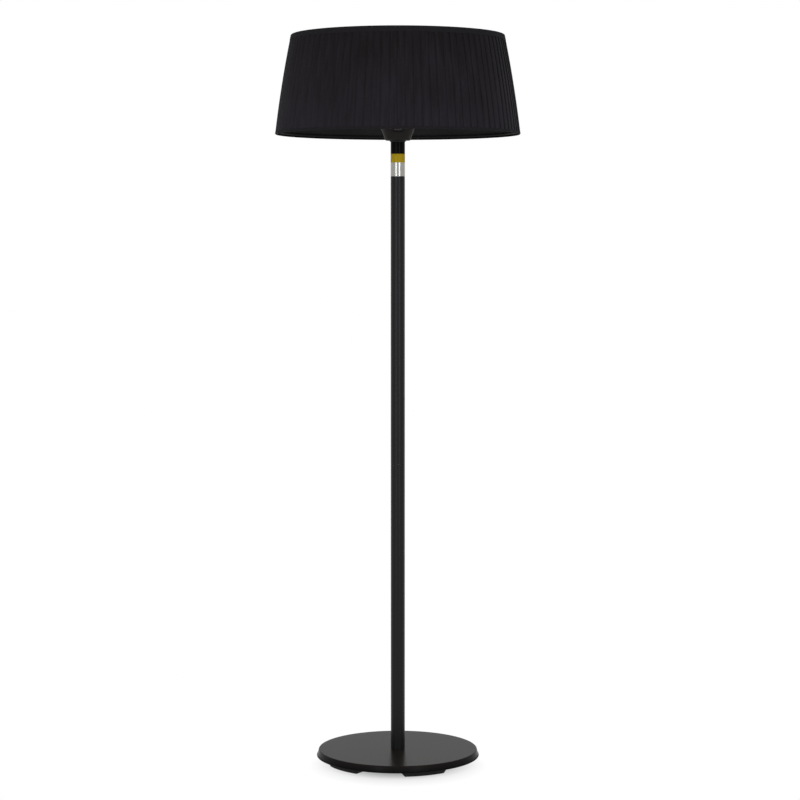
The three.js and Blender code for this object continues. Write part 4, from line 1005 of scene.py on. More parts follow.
def floor_material(tone):
    """A pale floor that takes the heater's shadow near the base and fades to white away from it."""
    floor = bpy.data.materials.new("studio_floor")
    floor.use_nodes = True
    tree = Tree(floor.node_tree)
    tree.tree.nodes.clear()
    x, y, _ = tree.split(tree.out("ShaderNodeTexCoord", output="Object"))
    shadow_centre_y, fade_from, fade_to = -0.06, 0.02, 0.22
    away = tree.length(x, y - shadow_centre_y)
    share = tree.remap(away, fade_from, fade_to, 0.0, 1.0) * seen_directly(tree)
    matt = tree.out("ShaderNodeBsdfDiffuse", {"Color": (*tone, 1.0)})
    white = tree.out("ShaderNodeEmission", {"Color": WHITE, "Strength": 1.0})
    end_tree(tree, "ShaderNodeOutputMaterial", share, matt, white)
    return floor


def softboxes(name, place, aim, size, watts, tint=(1, 1, 1)):
    """A pair of soft lights, one at `place` and one across from it, that face `aim`."""
    boxes = []
    for side, way in (("left", -1), ("right", 1)):
        spot = Vector((way * place[0], *place[1:]))
        light = bpy.data.lights.new(name.format(side), "AREA")
        light.shape = "RECTANGLE"
        light.size, light.size_y = size
        light.energy = watts
        light.color = tint
        box = bpy.data.objects.new(light.name, light)
        box.location = spot
        box.rotation_euler = (Vector(aim) - spot).to_track_quat("-Z", "Y").to_euler()
        bpy.context.scene.collection.objects.link(box)
        boxes.append(box)
    return boxes


class HEATER_OT_stage(Operator):
    """Set up the camera, the white studio, its soft lights and the floor"""

    bl_idname = "heater.stage"
    bl_label = "Stage"

    def execute(self, context):
        stage = context.scene.heater_stage
        context.scene.view_settings.view_transform = "Standard"
        camera = bpy.data.cameras.new("camera")
        camera.lens = stage.lens
        camera.sensor_width = 36
        eye = bpy.data.objects.new("camera", camera)
        eye.location = stage.camera_place
        eye.rotation_euler = (math.pi / 2 - stage.camera_dip, 0, 0)
        context.scene.collection.objects.link(eye)
        context.scene.camera = eye

        studio_world(stage.ambient)
        half = 8.0
        corners = [(-half, -half, 0), (half, -half, 0), (half, half, 0), (-half, half, 0)]
        floor = mesh_object("studio_floor", corners, [(0, 1, 2, 3)])
        floor.data.materials.append(floor_material(stage.floor))
        wide, slim, cool = (2.0, 2.6), (1.3, 2.6), (0.84, 0.91, 1.0)
        sides = softboxes("{}_softbox", stage.side_place, stage.aim, wide, stage.side_light)
        for side in sides:
            side.visible_glossy = False
        softboxes("front_{}_softbox", stage.front_place, stage.aim, slim, stage.front_light, cool)
        return {"FINISHED"}


# ------------------------------------------------------------------ base

class HEATER_OT_base(Operator):
    """Make the pressed base cover and the tray that closes it from below"""

    bl_idname = "heater.base"
    bl_label = "Base Cover and Tray"

    def execute(self, context):
        base = context.scene.heater_base
        self.make_cover(base)
        self.make_tray(base)
        return {"FINISHED"}

    def make_cover(self, base):
        foot, top, bottom = reach("base_cover"), high("base_cover"), low("base_cover")
        bore, wall = reach("threaded_nipple") + PLAY, base.cover_wall
        brow = foot - base.cover_flare
        knee_share, knee_rise, knee_curve = 0.35, 3.5 * MM, 6 * MM
        knee, knee_height = foot - knee_share * base.cover_flare, bottom + knee_rise
        outline = filleted([
            (foot, bottom, 0.5 * MM), (knee, knee_height, knee_curve), (brow, top, base.cover_edge),
            (bore, top, 0.3 * MM), (bore, top - wall, 0.3 * MM), (brow - wall, top - wall, 0.6 * MM),
            (knee - wall, knee_height, knee_curve), (foot - wall, bottom, 0.5 * MM),
        ], 6)
        finished(revolved("base_cover_skin", outline, 256), "powder_coat", "base_cover")

    def make_tray(self, base):
        radius, top, edge = reach("base_tray"), high("base_tray"), base.tray_edge
        plate = top - base.tray_plate
        washer_room = 2 * MM
        bore = reach("nipple_washer") + washer_room
        outline = filleted([
            (bore, plate, 0.4 * MM), (radius, plate, edge), (radius, top, edge), (bore, top, 0.4 * MM),
        ], 5)
        parts = [revolved("tray_plate", outline, 256)]
        size = (base.rib_width, base.rib_length, 2 * (plate - low("base_tray")))
        centre = Matrix.Translation((0, -(radius - base.rib_inset - base.rib_length / 2), plate))
        for angle in angles(base.foot_count, 0.5, base.foot_phase):
            parts.append(turned(rounded_box("rib", size, 0.9 * MM, centre, 3), angle))
        finished(joined("base_tray_plate", parts), "satin_black", "base_tray")


class HEATER_OT_feet(Operator):
    """Mould the rubber feet: sectors of a ring with slanted ends and soft edges"""

    bl_idname = "heater.feet"
    bl_label = "Feet"

    def execute(self, context):
        base = context.scene.heater_base
        for i, angle in enumerate(angles(base.foot_count, 0.0, base.foot_phase)):
            node = f"foot_pad_{i + 1}"
            finished(turned(self.foot(base, node + "_rubber"), angle), "rubber", node)
        return {"FINISHED"}

    def foot(self, base, name):
        outer, height = widest("foot_pad_1"), high("foot_pad_1")
        inner = outer - base.foot_depth
        stations = 25
        loops = []
        for i in range(stations):
            share = 2 * i / (stations - 1) - 1
            wide, narrow = share * base.foot_half, share * (base.foot_half - base.foot_slant)
            corners = [(inner, narrow, 0), (inner, wide, height), (outer, wide, height), (outer, narrow, 0)]
            loops.append([(r * math.sin(a), -r * math.cos(a), z) for r, a, z in corners])
        shape, _ = lofted(loops)
        rails = [edge for edge in shape.edges if edge.calc_face_angle(0) > math.radians(25)]
        rounded(shape, rails, base.foot_edge, 3)
        return shaped(name, shape)


class HEATER_OT_base_fittings(Operator):
    """Make the nut, the washer and the cord gland under the base"""

    bl_idname = "heater.base_fittings"
    bl_label = "Base Fittings"

    def execute(self, context):
        base = context.scene.heater_base
        bolt = reach("threaded_nipple")
        finished(self.nut(base, bolt + PLAY / 2), "zinc_steel", "nipple_nut")
        washer = tube("nipple_washer_disc", bolt + PLAY, reach("nipple_washer"),
                      low("nipple_washer"), high("nipple_washer"), 96, 0.5 * MM)
        finished(washer, "zinc_steel", "nipple_washer")
        bottom, top, wide = low("cord_gland"), high("cord_gland"), reach("cord_gland")
        inner, neck, flange = base.gland_bore, base.gland_neck, bottom + base.gland_flange
        gland = revolved("cord_gland_bush", filleted([
            (inner, bottom, 0.8 * MM), (wide, bottom, 0.9 * MM), (wide, flange, 0.3 * MM),
            (neck, flange), (neck, top, 0.6 * MM), (inner, top, 0.3 * MM),
        ]), 72)
        finished(gland, "rubber", "cord_gland")
        return {"FINISHED"}

    def nut(self, base, bore):
        """A hexagon whose corners are turned off at both ends."""
        flat, chamfer = base.nut_across / 2, base.nut_chamfer
        bottom, top = low("nipple_nut"), high("nipple_nut")
        corner = flat / math.cos(math.pi / 6)
        turned_off = 1.6 * chamfer
        face = corner - turned_off
        outline = [
            (bore, bottom), (face, bottom), (corner, bottom + chamfer), (corner, top - chamfer),
            (face, top), (bore, top),
        ]

        def hexagon(angle, radius):
            turn = (angle + math.pi / 6) % (math.pi / 3) - math.pi / 6
            return min(radius, flat / math.cos(turn))

        return revolved("nipple_nut_hexagon", outline, 96, hexagon)


# ------------------------------------------------------------------ pole and wrap

class HEATER_OT_pole(Operator):
    """Draw the two pole sections and the head's stem as smooth tubes"""

    bl_idname = "heater.pole"
    bl_label = "Pole"

    def execute(self, context):
        pole = context.scene.heater_pole
        outer = reach("pole_lower")
        inner = outer - pole.wall
        for node in ("pole_lower", "pole_upper", "head_stem"):
            piece = tube(node + "_tube", inner, outer, low(node), high(node), 96, pole.end_chamfer)
            finished(piece, "pole_coat", node)
        return {"FINISHED"}


class HEATER_OT_wrap(Operator):
    """Lay the plain film, its band and the silver foil round the stem"""

    bl_idname = "heater.wrap"
    bl_label = "Stem Wrap"

    def execute(self, context):
        pole = context.scene.heater_pole
        skin_gap, seam_gap, edge = 0.02 * MM, 0.04 * MM, 0.02 * MM
        inner = reach("head_stem") + skin_gap
        outer = inner + pole.wrap_skin
        band_top = pole.wrap_seam + pole.band_width
        layers = [
            ("wrap_film", band_top, pole.wrap_top), ("wrap_band", pole.wrap_seam, band_top),
            ("wrap_foil", pole.wrap_foot, pole.wrap_seam),
        ]
        for name, bottom, top in layers:
            piece = tube(name + "_sleeve", inner, outer, bottom + seam_gap, top - seam_gap, 96, edge)
            finished(piece, name)
        return {"FINISHED"}


# ------------------------------------------------------------------ collar and switch

def collar_slope(collar):
    """How far the funnel spreads for each metre that it rises."""
    rise = high("collar_housing") - low("collar_housing") - collar.edge
    return (reach("collar_housing") - collar.foot_radius) / rise


def collar_radius(collar, height):
    """The funnel's outer radius at a height above its underside."""
    return collar.foot_radius + collar_slope(collar) * (height - collar.edge)


def on_collar(collar):
    """The switch's own frame, with X right, Y up the collar and Z out of it."""
    lean = math.atan(collar_slope(collar))
    height = collar.switch_height
    spot = (0, -collar_radius(collar, height), low("collar_housing") + height)
    return Matrix.Translation(spot) @ Matrix.Rotation(math.pi / 2 + lean, 4, "X")


def well_size(collar):
    """The room for the rocker, with play all round it."""
    return collar.rocker_width + 2 * PLAY, 2 * (collar.rocker_radius + PLAY)


def switch_body_size(collar):
    return tuple(side + 2 * collar.body_wall for side in well_size(collar))


class HEATER_OT_collar(Operator):
    """Make the funnel collar under the head and the seal round the stem"""

    bl_idname = "heater.collar"
    bl_label = "Collar"

    def execute(self, context):
        collar = context.scene.heater_collar
        bore = reach("head_stem") + PLAY
        bottom, top = low("collar_housing"), high("collar_housing")
        foot, rim, wall = collar.foot_radius, reach("collar_housing"), collar.wall
        boss, boss_top = bore + collar.boss_wall, bottom + collar.boss_height
        start = foot - collar_slope(collar) * collar.edge
        funnel = revolved("collar_funnel", filleted([
            (bore, bottom, 0.4 * MM), (start, bottom, 1.4 * collar.edge), (rim, top, 0.5 * MM),
            (rim - wall, top, 0.5 * MM), (foot - wall, bottom + wall + collar.edge / 2, 2 * MM),
            (boss, bottom + wall, 0.5 * MM), (boss, boss_top, 0.5 * MM), (bore, boss_top, 0.4 * MM),
        ], 6), 192)
        size = [side + 2 * PLAY for side in switch_body_size(collar)]
        window = rounded_box("window", (*size, 2 * collar.bezel_depth), 0, on_collar(collar))
        finished(carved(funnel, [window]), "satin_black", "collar_housing")

        top, waist = high("collar_seal"), low("collar_seal") + collar.seal_waist
        lip, lip_height, foot_width = reach("collar_seal") - collar.seal_slim, 0.8 * MM, 0.7 * MM
        seal = revolved("collar_seal_ring", filleted([
            (bore, waist, 0.2 * MM), (bore + foot_width, waist, 0.4 * MM),
            (lip, top - lip_height, 1 * MM), (lip, top, 0.2 * MM), (bore, top, 0.2 * MM),
        ]), 96)
        finished(seal, "rubber", "collar_seal")
        return {"FINISHED"}


class HEATER_OT_switch(Operator):
    """Mould the mains switch in the collar: its bezel, its well and the rocker on two pins"""

    bl_idname = "heater.switch"
    bl_label = "Switch"

    def execute(self, context):
        collar = context.scene.heater_collar
        place = on_collar(collar)
        finished(self.body(collar, place), "switch_plastic", "switch_body")
        finished(self.rocker(collar, place), "rocker_gloss", "switch_rocker", "rocker")
        return {"FINISHED"}

    def body(self, collar, place):
        rim, depth = collar.bezel_rim, collar.bezel_depth
        bezel = rounded_box(
            "switch_frame", (collar.bezel_width, collar.bezel_length, depth), 0.8 * MM,
            place @ Matrix.Translation((0, 0, rim - depth / 2)), 3,
        )
        # The bezel's back follows the funnel: a cone that runs past it at both ends is cut away.
        foot, core, cone_from, cone_to = low("collar_housing"), 15 * MM, -12 * MM, 70 * MM
        (h0, r0), (h1, r1) = [(foot + h, collar_radius(collar, h) + PLAY) for h in (cone_from, cone_to)]
        cone = revolved("cone", [(core, h0), (r0, h0), (r1, h1), (core, h1)], 192)
        overlap = 0.6 * MM
        block = rounded_box(
            "block", (*switch_body_size(collar), collar.body_depth + overlap), 0.3 * MM,
            place @ Matrix.Translation((0, 0, (overlap - collar.body_depth) / 2)),
        )
        deep = 2 * (collar.body_depth - collar.well_floor)
        well = rounded_box("well", (*well_size(collar), deep), 0, place)
        pins = self.pins(collar, PLAY)
        carved(bezel, [cone])
        carved(bezel, [block], "UNION")
        return carved(bezel, [well, moved(pins, place)])

    def pins(self, collar, play):
        """One bar through the rocker, at its pivot."""
        half = collar.rocker_width / 2 + collar.pin_reach + play
        ends = [(x, 0, -collar.pivot_depth) for x in (-half, half)]
        return swept("pins", ends, collar.pin_radius + play, 16)

    def rocker(self, collar, place):
        """A shallow V over a drum. Its upper half lies level, and its lower half stands proud."""
        def at(angle, radius):
            return radius * math.cos(angle), radius * math.sin(angle)

        radius = collar.rocker_radius
        side, rise = at(collar.rocker_shoulder, radius)
        valley = rise - side * math.tan(collar.rocker_tilt)
        heel, drum = at(-math.radians(20), radius), at(-math.radians(60), collar.rocker_drum)
        half = [
            (0, valley, 6 * MM), (side, rise, 2.2 * MM), (radius, 0, 3 * MM), (*heel, 1 * MM),
            (*drum, 2 * MM),
        ]
        other = [(-y, z, fillet) for y, z, fillet in half[:0:-1]]
        pivot = Matrix.Translation((0, 0, -collar.pivot_depth))
        lean = Matrix.Rotation(-collar.rocker_tilt, 4, "X")
        outline = filleted(half + other, 5)
        key = extruded("key", outline, collar.rocker_width, 0.5 * MM, pivot @ lean, 3)
        return moved(joined("switch_key", [key, self.pins(collar, 0.0)]), place)


# ------------------------------------------------------------------ reflector, housing, lamps and guard

def vented_shape(values):
    """Round-ended slots cut through a shell, evenly round the axis."""
    shape = Shape("housing_vents", values)
    given = shape.given
    outline = shape.out("GeometryNodeCurvePrimitiveQuadrilateral", {
        "Width": given["Slot Width"], "Height": given["Slot Length"]})
    nearly_half = 0.498
    rounded_outline = shape.out("GeometryNodeFilletCurve", {
        "Curve": outline, "Count": 5, "Radius": given["Slot Width"] * nearly_half}, mode="POLY")
    face = shape.out("GeometryNodeFillCurve", {"Curve": rounded_outline})
    block = shape.out("GeometryNodeExtrudeMesh", {
        "Mesh": face, "Offset": (0.0, 0.0, 1.0), "Offset Scale": given["Cut Depth"], "Individual": False})
    bottom = shape.out("GeometryNodeFlipFaces", {"Mesh": face})
    closed = shape.out("GeometryNodeMergeByDistance", {"Geometry": shape.joined([block, bottom])})
    slot = shape.shifted(closed, 0.0, given["Slot Radius"] * -1.0, given["Cut Start"])
    slots = shape.around(slot, given["Slots"], given["Phase"])
    return shape.finish(shape.out("GeometryNodeMeshBoolean", {
        "Mesh 1": given["Geometry"], "Mesh 2": slots}, operation="DIFFERENCE", solver="EXACT"))


def guard_shape(values, rings):
    """Rings of wire with straight spokes fused under them."""
    shape = Shape("welded_guard", values)
    given = shape.given
    inner, outer, wire, height = (given[key] for key in ("Inner", "Outer", "Wire", "Height"))
    step = (outer - inner) / (rings - 1)
    lines = []
    for k in range(rings):
        circle = shape.out("GeometryNodeCurvePrimitiveCircle", {
            "Resolution": 72 + 24 * k, "Radius": step * k + inner})
        lines.append(shape.shifted(circle, 0.0, 0.0, height))
    under = height - given["Spoke Drop"]
    start, end = (shape.vector(0.0, radius * -1.0, under) for radius in (inner, outer + wire))
    spoke = shape.out("GeometryNodeCurvePrimitiveLine", {"Start": start, "End": end})
    spokes = shape.around(spoke, given["Spokes"])
    lines.append(shape.out("GeometryNodeRealizeInstances", {"Geometry": spokes}))
    return shape.finish(shape.wire(shape.joined(lines), wire, 10))


def filament_shape(values):
    """A coil of wire along X."""
    shape = Shape("lamp_filament", values)
    given = shape.given
    coil = shape.out("GeometryNodeCurveSpiral", {
        "Resolution": 10, "Rotations": given["Turns"], "Start Radius": given["Coil Radius"],
        "End Radius": given["Coil Radius"], "Height": given["Length"],
    })
    wire = shape.wire(coil, given["Wire"], 5)
    return shape.finish(shape.shifted(wire, 0.0, 0.0, given["Length"] * -0.5))


class HEATER_OT_reflector(Operator):
    """Spin the trough-shaped reflector over the lamps"""

    bl_idname = "heater.reflector"
    bl_label = "Reflector"

    def execute(self, context):
        head = context.scene.heater_head
        wall = head.sheet
        bottom, ceiling = low("reflector"), high("reflector") - wall
        rim = bottom + wall + PLAY
        outline = bent_sheet([
            (head.reflector_bore, bottom), (head.reflector_flange, bottom, 5 * MM),
            (head.ceiling_inner, ceiling, 8 * MM), (head.ceiling_outer, ceiling, 8 * MM),
            (head.reflector_rim, rim, 5 * MM), (reach("reflector"), rim),
        ], wall, 8)
        finished(revolved("reflector_trough", outline, 256), "spun_aluminium", "reflector")
        return {"FINISHED"}


class HEATER_OT_housing(Operator):
    """Press the domed housing and cut its ring of vents"""

    bl_idname = "heater.housing"
    bl_label = "Housing"

    def execute(self, context):
        head = context.scene.heater_head
        radius, bottom, top = reach("upper_housing"), low("upper_housing"), high("upper_housing")
        shoulder = bottom + head.housing_skirt
        depth, flat, steps = top - shoulder, head.crown_flat, 28
        crown = [
            (flat + (radius - flat) * math.cos(angle), shoulder + depth * math.sin(angle))
            for angle in (math.pi / 2 * k / steps for k in range(steps + 1))
        ]
        outline = bent_sheet([
            (radius - head.housing_lip, bottom), (radius, bottom, 2.4 * MM), *crown,
            (context.scene.heater_carrier.stud_bore, top),
        ], head.sheet, 5)
        shell = revolved("housing_shell", outline, 256)
        quarter_step = 0.25 * math.tau / head.vents
        vented_shape({
            "Slots": head.vents, "Slot Width": head.vent_width, "Slot Length": head.vent_length,
            "Slot Radius": head.vent_radius, "Cut Depth": depth, "Cut Start": top - depth + 1 * MM,
            "Phase": quarter_step, "Material": material("pole_coat"),
        }).put_on(shell)
        shade(baked(shell).data)
        finished(shell, "pole_coat", "upper_housing")
        return {"FINISHED"}


class HEATER_OT_lamps(Operator):
    """Make each lamp: ruby glass, the filament in it and a grooved ceramic cap on each end"""

    bl_idname = "heater.lamps"
    bl_label = "Lamps"

    def execute(self, context):
        head = context.scene.heater_head
        place = Matrix.Translation((0, -head.lamp_reach, mid_height("heat_lamp_1")))
        right, left = (place @ Matrix.Rotation(turn, 4, "Y") for turn in (math.pi / 2, -math.pi / 2))
        half, radius = head.lamp_length / 2, head.lamp_radius
        for i, angle in enumerate(angles(head.lamps), 1):
            glass = tube(f"lamp_{i}_glass", radius - head.lamp_wall, radius, -half, half, 48, 0.3 * MM)
            finished(turned(moved(glass, right), angle), "ruby_quartz", f"heat_lamp_{i}")
            coil = filament_shape({
                "Turns": float(head.coil_turns), "Coil Radius": head.coil_radius, "Wire": head.coil_wire,
                "Length": head.lamp_length - 2 * head.cap_overlap, "Material": material("tungsten"),
            }).put_on(blank(f"lamp_{i}_filament"))
            finished(turned(moved(baked(coil), right), angle), "tungsten")
            for side, way in (("right", right), ("left", left)):
                cap = moved(self.cap(f"lamp_{i}_cap_{side}", head), way)
                finished(turned(cap, angle), "lamp_ceramic", f"lamp_cap_{i}_{side}")
        return {"FINISHED"}

    def cap(self, name, head):
        mouth = head.lamp_length / 2 - head.cap_overlap
        end, bore, radius = mouth + head.cap_length, head.lamp_radius + PLAY, head.cap_radius
        floor = mouth + head.cap_overlap + PLAY
        deep, slant = radius - head.groove_depth, 0.2 * MM
        corners = [(bore, mouth, 0.3 * MM), (radius, mouth, 0.5 * MM)]
        for k in (1, 2):
            start = floor + k * head.groove_pitch
            close = start + head.groove_width
            corners += [(radius, start), (deep, start + slant), (deep, close), (radius, close + slant)]
        corners += [(radius, end, 1.2 * MM), (0, end), (0, floor), (bore, floor)]
        return revolved(name, filleted(corners, 3), 48)


class HEATER_OT_brackets(Operator):
    """Bend the corner brackets that take the lamps' ends"""

    bl_idname = "heater.brackets"
    bl_label = "Lamp Brackets"

    def execute(self, context):
        head = context.scene.heater_head
        half = math.pi / head.lamps
        ear_along = head.lamp_length / 2 - head.cap_overlap + head.cap_length - head.ear_inset
        out = head.lamp_reach * math.cos(half) + ear_along * math.sin(half)
        spread = head.lamp_reach * math.sin(half) - ear_along * math.cos(half)
        top, plate, edge = high("lamp_bracket_1"), head.plate, 0.5 * MM
        middle = top - plate / 2
        size = (abs(2 * spread) + head.ear_width, head.strap_width, plate)
        rivet_share = 0.45  # of the way from the strap's middle to an ear
        for i, angle in enumerate(angles(head.lamps, 0.5), 1):
            parts = [rounded_box("strap", size, edge, Matrix.Translation((0, -out, middle)))]
            for side in (1, -1):
                place = Matrix.Translation((side * spread, -out, 0)) @ Matrix.Rotation(side * half, 4, "Z")
                parts.append(moved(self.ear(head, middle, edge), place))
                parts.append(self.rivet(side * spread * rivet_share, -out, top - plate))
            piece = turned(joined(f"lamp_bracket_{i}_plate", parts), angle)
            finished(piece, "zinc_steel", f"lamp_bracket_{i}")
        return {"FINISHED"}

    def ear(self, head, top, edge):
        """The upright plate with the eye that a lamp's cap sits in."""
        plate, bottom, lamp = head.plate, low("lamp_bracket_1"), mid_height("heat_lamp_1")
        ear = rounded_box(
            "ear", (plate, head.ear_width, top - bottom), edge,
            Matrix.Translation((0, 0, (top + bottom) / 2)),
        )
        through = 9 * plate
        eye = swept("eye", [(-through, 0, lamp), (through, 0, lamp)], head.cap_radius + PLAY, 48)
        return carved(ear, [eye])

    def rivet(self, x, y, top):
        """The domed head of a rivet, hanging under the strap."""
        radius, rise, sunk = 3 * MM, 1.2 * MM, 0.3 * MM
        corners = [(0, sunk), (0, -rise), (radius, -rise, rise), (radius, sunk)]
        return moved(revolved("rivet", filleted(corners, 5), 24), Matrix.Translation((x, y, top)))


class HEATER_OT_guard(Operator):
    """Weld the wire guard and bend the clips that hold it"""

    bl_idname = "heater.guard"
    bl_label = "Guard and Clips"

    def execute(self, context):
        head = context.scene.heater_head
        wire = head.guard_wire
        height, outer = high("wire_guard") - wire, reach("wire_guard") - wire
        guard = guard_shape({
            "Inner": head.guard_inner, "Outer": outer, "Wire": wire, "Height": height,
            "Spoke Drop": 2 * wire - head.guard_weld, "Spokes": head.guard_spokes,
            "Material": material("zinc_steel"),
        }, head.guard_rings).put_on(blank("guard_wires"))
        finished(baked(guard), "zinc_steel", "wire_guard")

        plate = head.clip_plate
        face, bottom = reach("upper_housing") + PLAY + plate, height - wire - PLAY - plate
        inner = outer - wire - head.clip_hook
        outline = bent_sheet([
            (-inner, bottom), (-face, bottom, 2.6 * MM), (-face, bottom + head.clip_height),
        ], -plate, 6)
        for i, angle in enumerate(angles(head.clips, 0.5, math.pi / head.guard_spokes), 1):
            clip = extruded(f"guard_clip_{i}_strip", outline, head.clip_width, 0.35 * MM)
            finished(turned(clip, angle), "zinc_steel", f"guard_clip_{i}")
        return {"FINISHED"}


# ------------------------------------------------------------------ the shade's carrier

class HEATER_OT_carrier(Operator):
    """Make the spider, the finial nut and the two hoops that carry the shade"""

    bl_idname = "heater.carrier"
    bl_label = "Shade Carrier"

    def execute(self, context):
        carrier = context.scene.heater_carrier
        self.make_hub(carrier)
        self.make_arms(carrier)
        self.make_finial(carrier)
        wire = carrier.ring_wire
        for node in ("shade_top_ring", "shade_bottom_ring"):
            centre, height = reach(node) - wire, mid_height(node)
            outline = [(centre + wire * math.cos(t), height + wire * math.sin(t)) for t in angles(16)]
            finished(revolved(node + "_hoop", outline, 256), "hoop_enamel", node)
        return {"FINISHED"}

    def make_hub(self, carrier):
        bottom, top, rim = low("spider_hub"), high("spider_hub"), reach("spider_hub")
        plate, boss, bore = bottom + carrier.hub_plate, carrier.boss_radius, carrier.stud_bore
        hub = revolved("spider_hub_disc", filleted([
            (bore, bottom, 0.4 * MM), (rim, bottom, 1 * MM), (rim, plate, 1 * MM),
            (boss, plate, 0.8 * MM), (boss, top, 0.8 * MM), (bore, top, 0.4 * MM),
        ]), 96)
        finished(hub, "satin_black", "spider_hub")

    def make_arms(self, carrier):
        start = low("spider_arm_1") + carrier.arm_radius
        hoop = reach("shade_top_ring") - carrier.ring_wire
        corners = [
            (carrier.boss_radius - 1 * MM, start), (carrier.arm_bend, start, carrier.arm_curve),
            (hoop - carrier.ring_wire * 0.6, mid_height("shade_top_ring")),
        ]
        route = [(0, -r, z) for r, z in filleted(corners, 12)]
        for i, angle in enumerate(angles(carrier.arms, 0.5), 1):
            arm = swept(f"spider_arm_{i}_rod", route, carrier.arm_radius, 16)
            finished(turned(arm, angle), "satin_black", f"spider_arm_{i}")

    def make_finial(self, carrier):
        """A fluted knob with a blind hole. The flutes run out over its crown."""
        bottom, top, radius = low("finial_nut"), high("finial_nut"), widest("finial_nut")
        bore, hole = carrier.stud_bore, top - carrier.finial_crown
        outline = filleted([
            (bore, bottom, 0.5 * MM), (radius - 1 * MM, bottom, 1.2 * MM), (radius, bottom + 3 * MM, 4 * MM),
            (radius, top - 1.6 * MM, 3.2 * MM), (0.55 * radius, top, 3 * MM), (0, top), (0, hole),
            (bore, hole),
        ], 6)
        depth, flutes = carrier.flute_depth, carrier.flutes
        plain = 0.6  # of the radius, from the axis to where the flutes start

        def fluted(angle, at):
            share = max(0.0, (at - plain * radius) / ((1 - plain) * radius))
            return at - depth * share * (0.5 + 0.5 * math.cos(flutes * angle)) ** 3

        finished(revolved("finial_knob", outline, 192, fluted), "satin_black", "finial_nut")


# ------------------------------------------------------------------ shade

def shade_radius(height, settings):
    """The radius over the pleats' crests at a height above the floor."""
    bottom, top = low("bottom_hem"), high("top_hem")
    wide, narrow = settings.bottom_radius, settings.top_radius
    share = (height - bottom) / (top - bottom)
    return wide + (narrow - wide) * share + 4 * settings.bulge * share * (1 - share)


# The line of a knife pleat, as (share of its points, way round in pitches, depth in depths): up out of
# the fold, over the crest and down the panel into the next fold.
PLEAT_LINE = [
    (0.0, 0.045, 1.0), (0.12, 0.015, 0.92), (0.24, -0.015, 0.62), (0.33, -0.005, 0.28), (0.42, 0.04, 0.08),
    (0.54, 0.14, 0.0), (0.66, 0.34, 0.12), (1.0, 1.045, 1.0),
]
PUFF = 0.12  # of its depth that a pleat may swell or sink between the tapes


def pleats_shape(values):
    """Knife pleats on a swollen cone. A grid is rolled round the axis; across each pleat one curve
    gives how far round a point lies and another how deep, so that each fold overhangs the next."""
    shape = Shape("knife_pleats", values)
    given = shape.given
    pleats, steps = given["Pleats"], given["Steps"]
    columns = pleats * steps + 1
    grid = shape.add("GeometryNodeMeshGrid", {
        "Size X": 1.0, "Size Y": 1.0, "Vertices X": columns, "Vertices Y": given["Rows"],
    })
    x, y, _ = shape.split(shape.out("GeometryNodeInputPosition"))
    column = shape.math("ROUND", (x + 0.5) * (columns - 1))
    rise = y + 0.5
    pleat = shape.math("FLOOR", (column + 0.5) / steps)
    inside = (column - pleat * steps) / steps

    # Values are moved up by a tenth, because a curve node gives nothing below zero.
    lift = 0.1

    def curve(row):
        node = shape.add("ShaderNodeFloatCurve", {"Value": inside})
        line = node.mapping.curves[0]
        node.mapping.use_clip = False
        points = [(spot[0], spot[row] + lift) for spot in PLEAT_LINE]
        for spot, value in points[1:-1]:
            line.points.new(spot, value)
        for point, (spot, value) in zip(line.points, points):
            point.location = (spot, value)
            point.handle_type = "AUTO_CLAMPED"
        node.mapping.update()
        return Value(shape, node.outputs[0]) - lift

    def random_at(number, salt):
        """A number from -1 to 1, the same for the first pleat and the one that follows the last."""
        pleat_id = shape.math("FLOORED_MODULO", number, pleats)
        return shape.out("FunctionNodeRandomValue", {
            2: -1.0, 3: 1.0, "ID": pleat_id, "Seed": given["Seed"] + salt}, 1, data_type="FLOAT")

    def drift(salt):
        here, there = random_at(pleat, salt), random_at(pleat + 1.0, salt)
        return (there - here) * inside + here

    round_share, depth_share = curve(1), curve(2)
    belly = shape.math("SINE", rise * math.pi)
    lean = drift(20.0) * belly + drift(0.0)
    angle = (pleat + (lean * given["Wander"] + round_share)) * math.tau / pleats
    height = shape.remap(rise, 0.0, 1.0, given["Lower End"], given["Upper End"])
    share = shape.remap(height, given["Lower Rim"], given["Upper Rim"], 0.0, 1.0)
    straight = shape.remap(share, 0.0, 1.0, given["Lower Radius"], given["Upper Radius"])
    swell = share * (1.0 - share) * (given["Bulge"] * 4.0)
    sink = (depth_share + drift(40.0) * PUFF * belly) * given["Depth"]
    radius = straight + swell - sink
    sine, cosine = shape.math("SINE", angle), shape.math("COSINE", angle)
    uv_x, uv_y, _ = shape.split(Value(shape, grid.outputs["UV Map"]))
    flat = shape.vector(uv_x * given["Flat Width"], uv_y * given["Flat Height"], 0.0)
    mapped = shape.out("GeometryNodeStoreNamedAttribute", {
        "Geometry": Value(shape, grid.outputs["Mesh"]), "Name": "UVMap", "Value": flat,
    }, data_type="FLOAT2", domain="CORNER")
    rolled = shape.out("GeometryNodeSetPosition", {
        "Geometry": mapped, "Position": shape.vector(radius * sine, radius * cosine * -1.0, height)})
    return shape.finish(shape.out("GeometryNodeMergeByDistance", {
        "Geometry": rolled, "Distance": 0.01 * MM}))


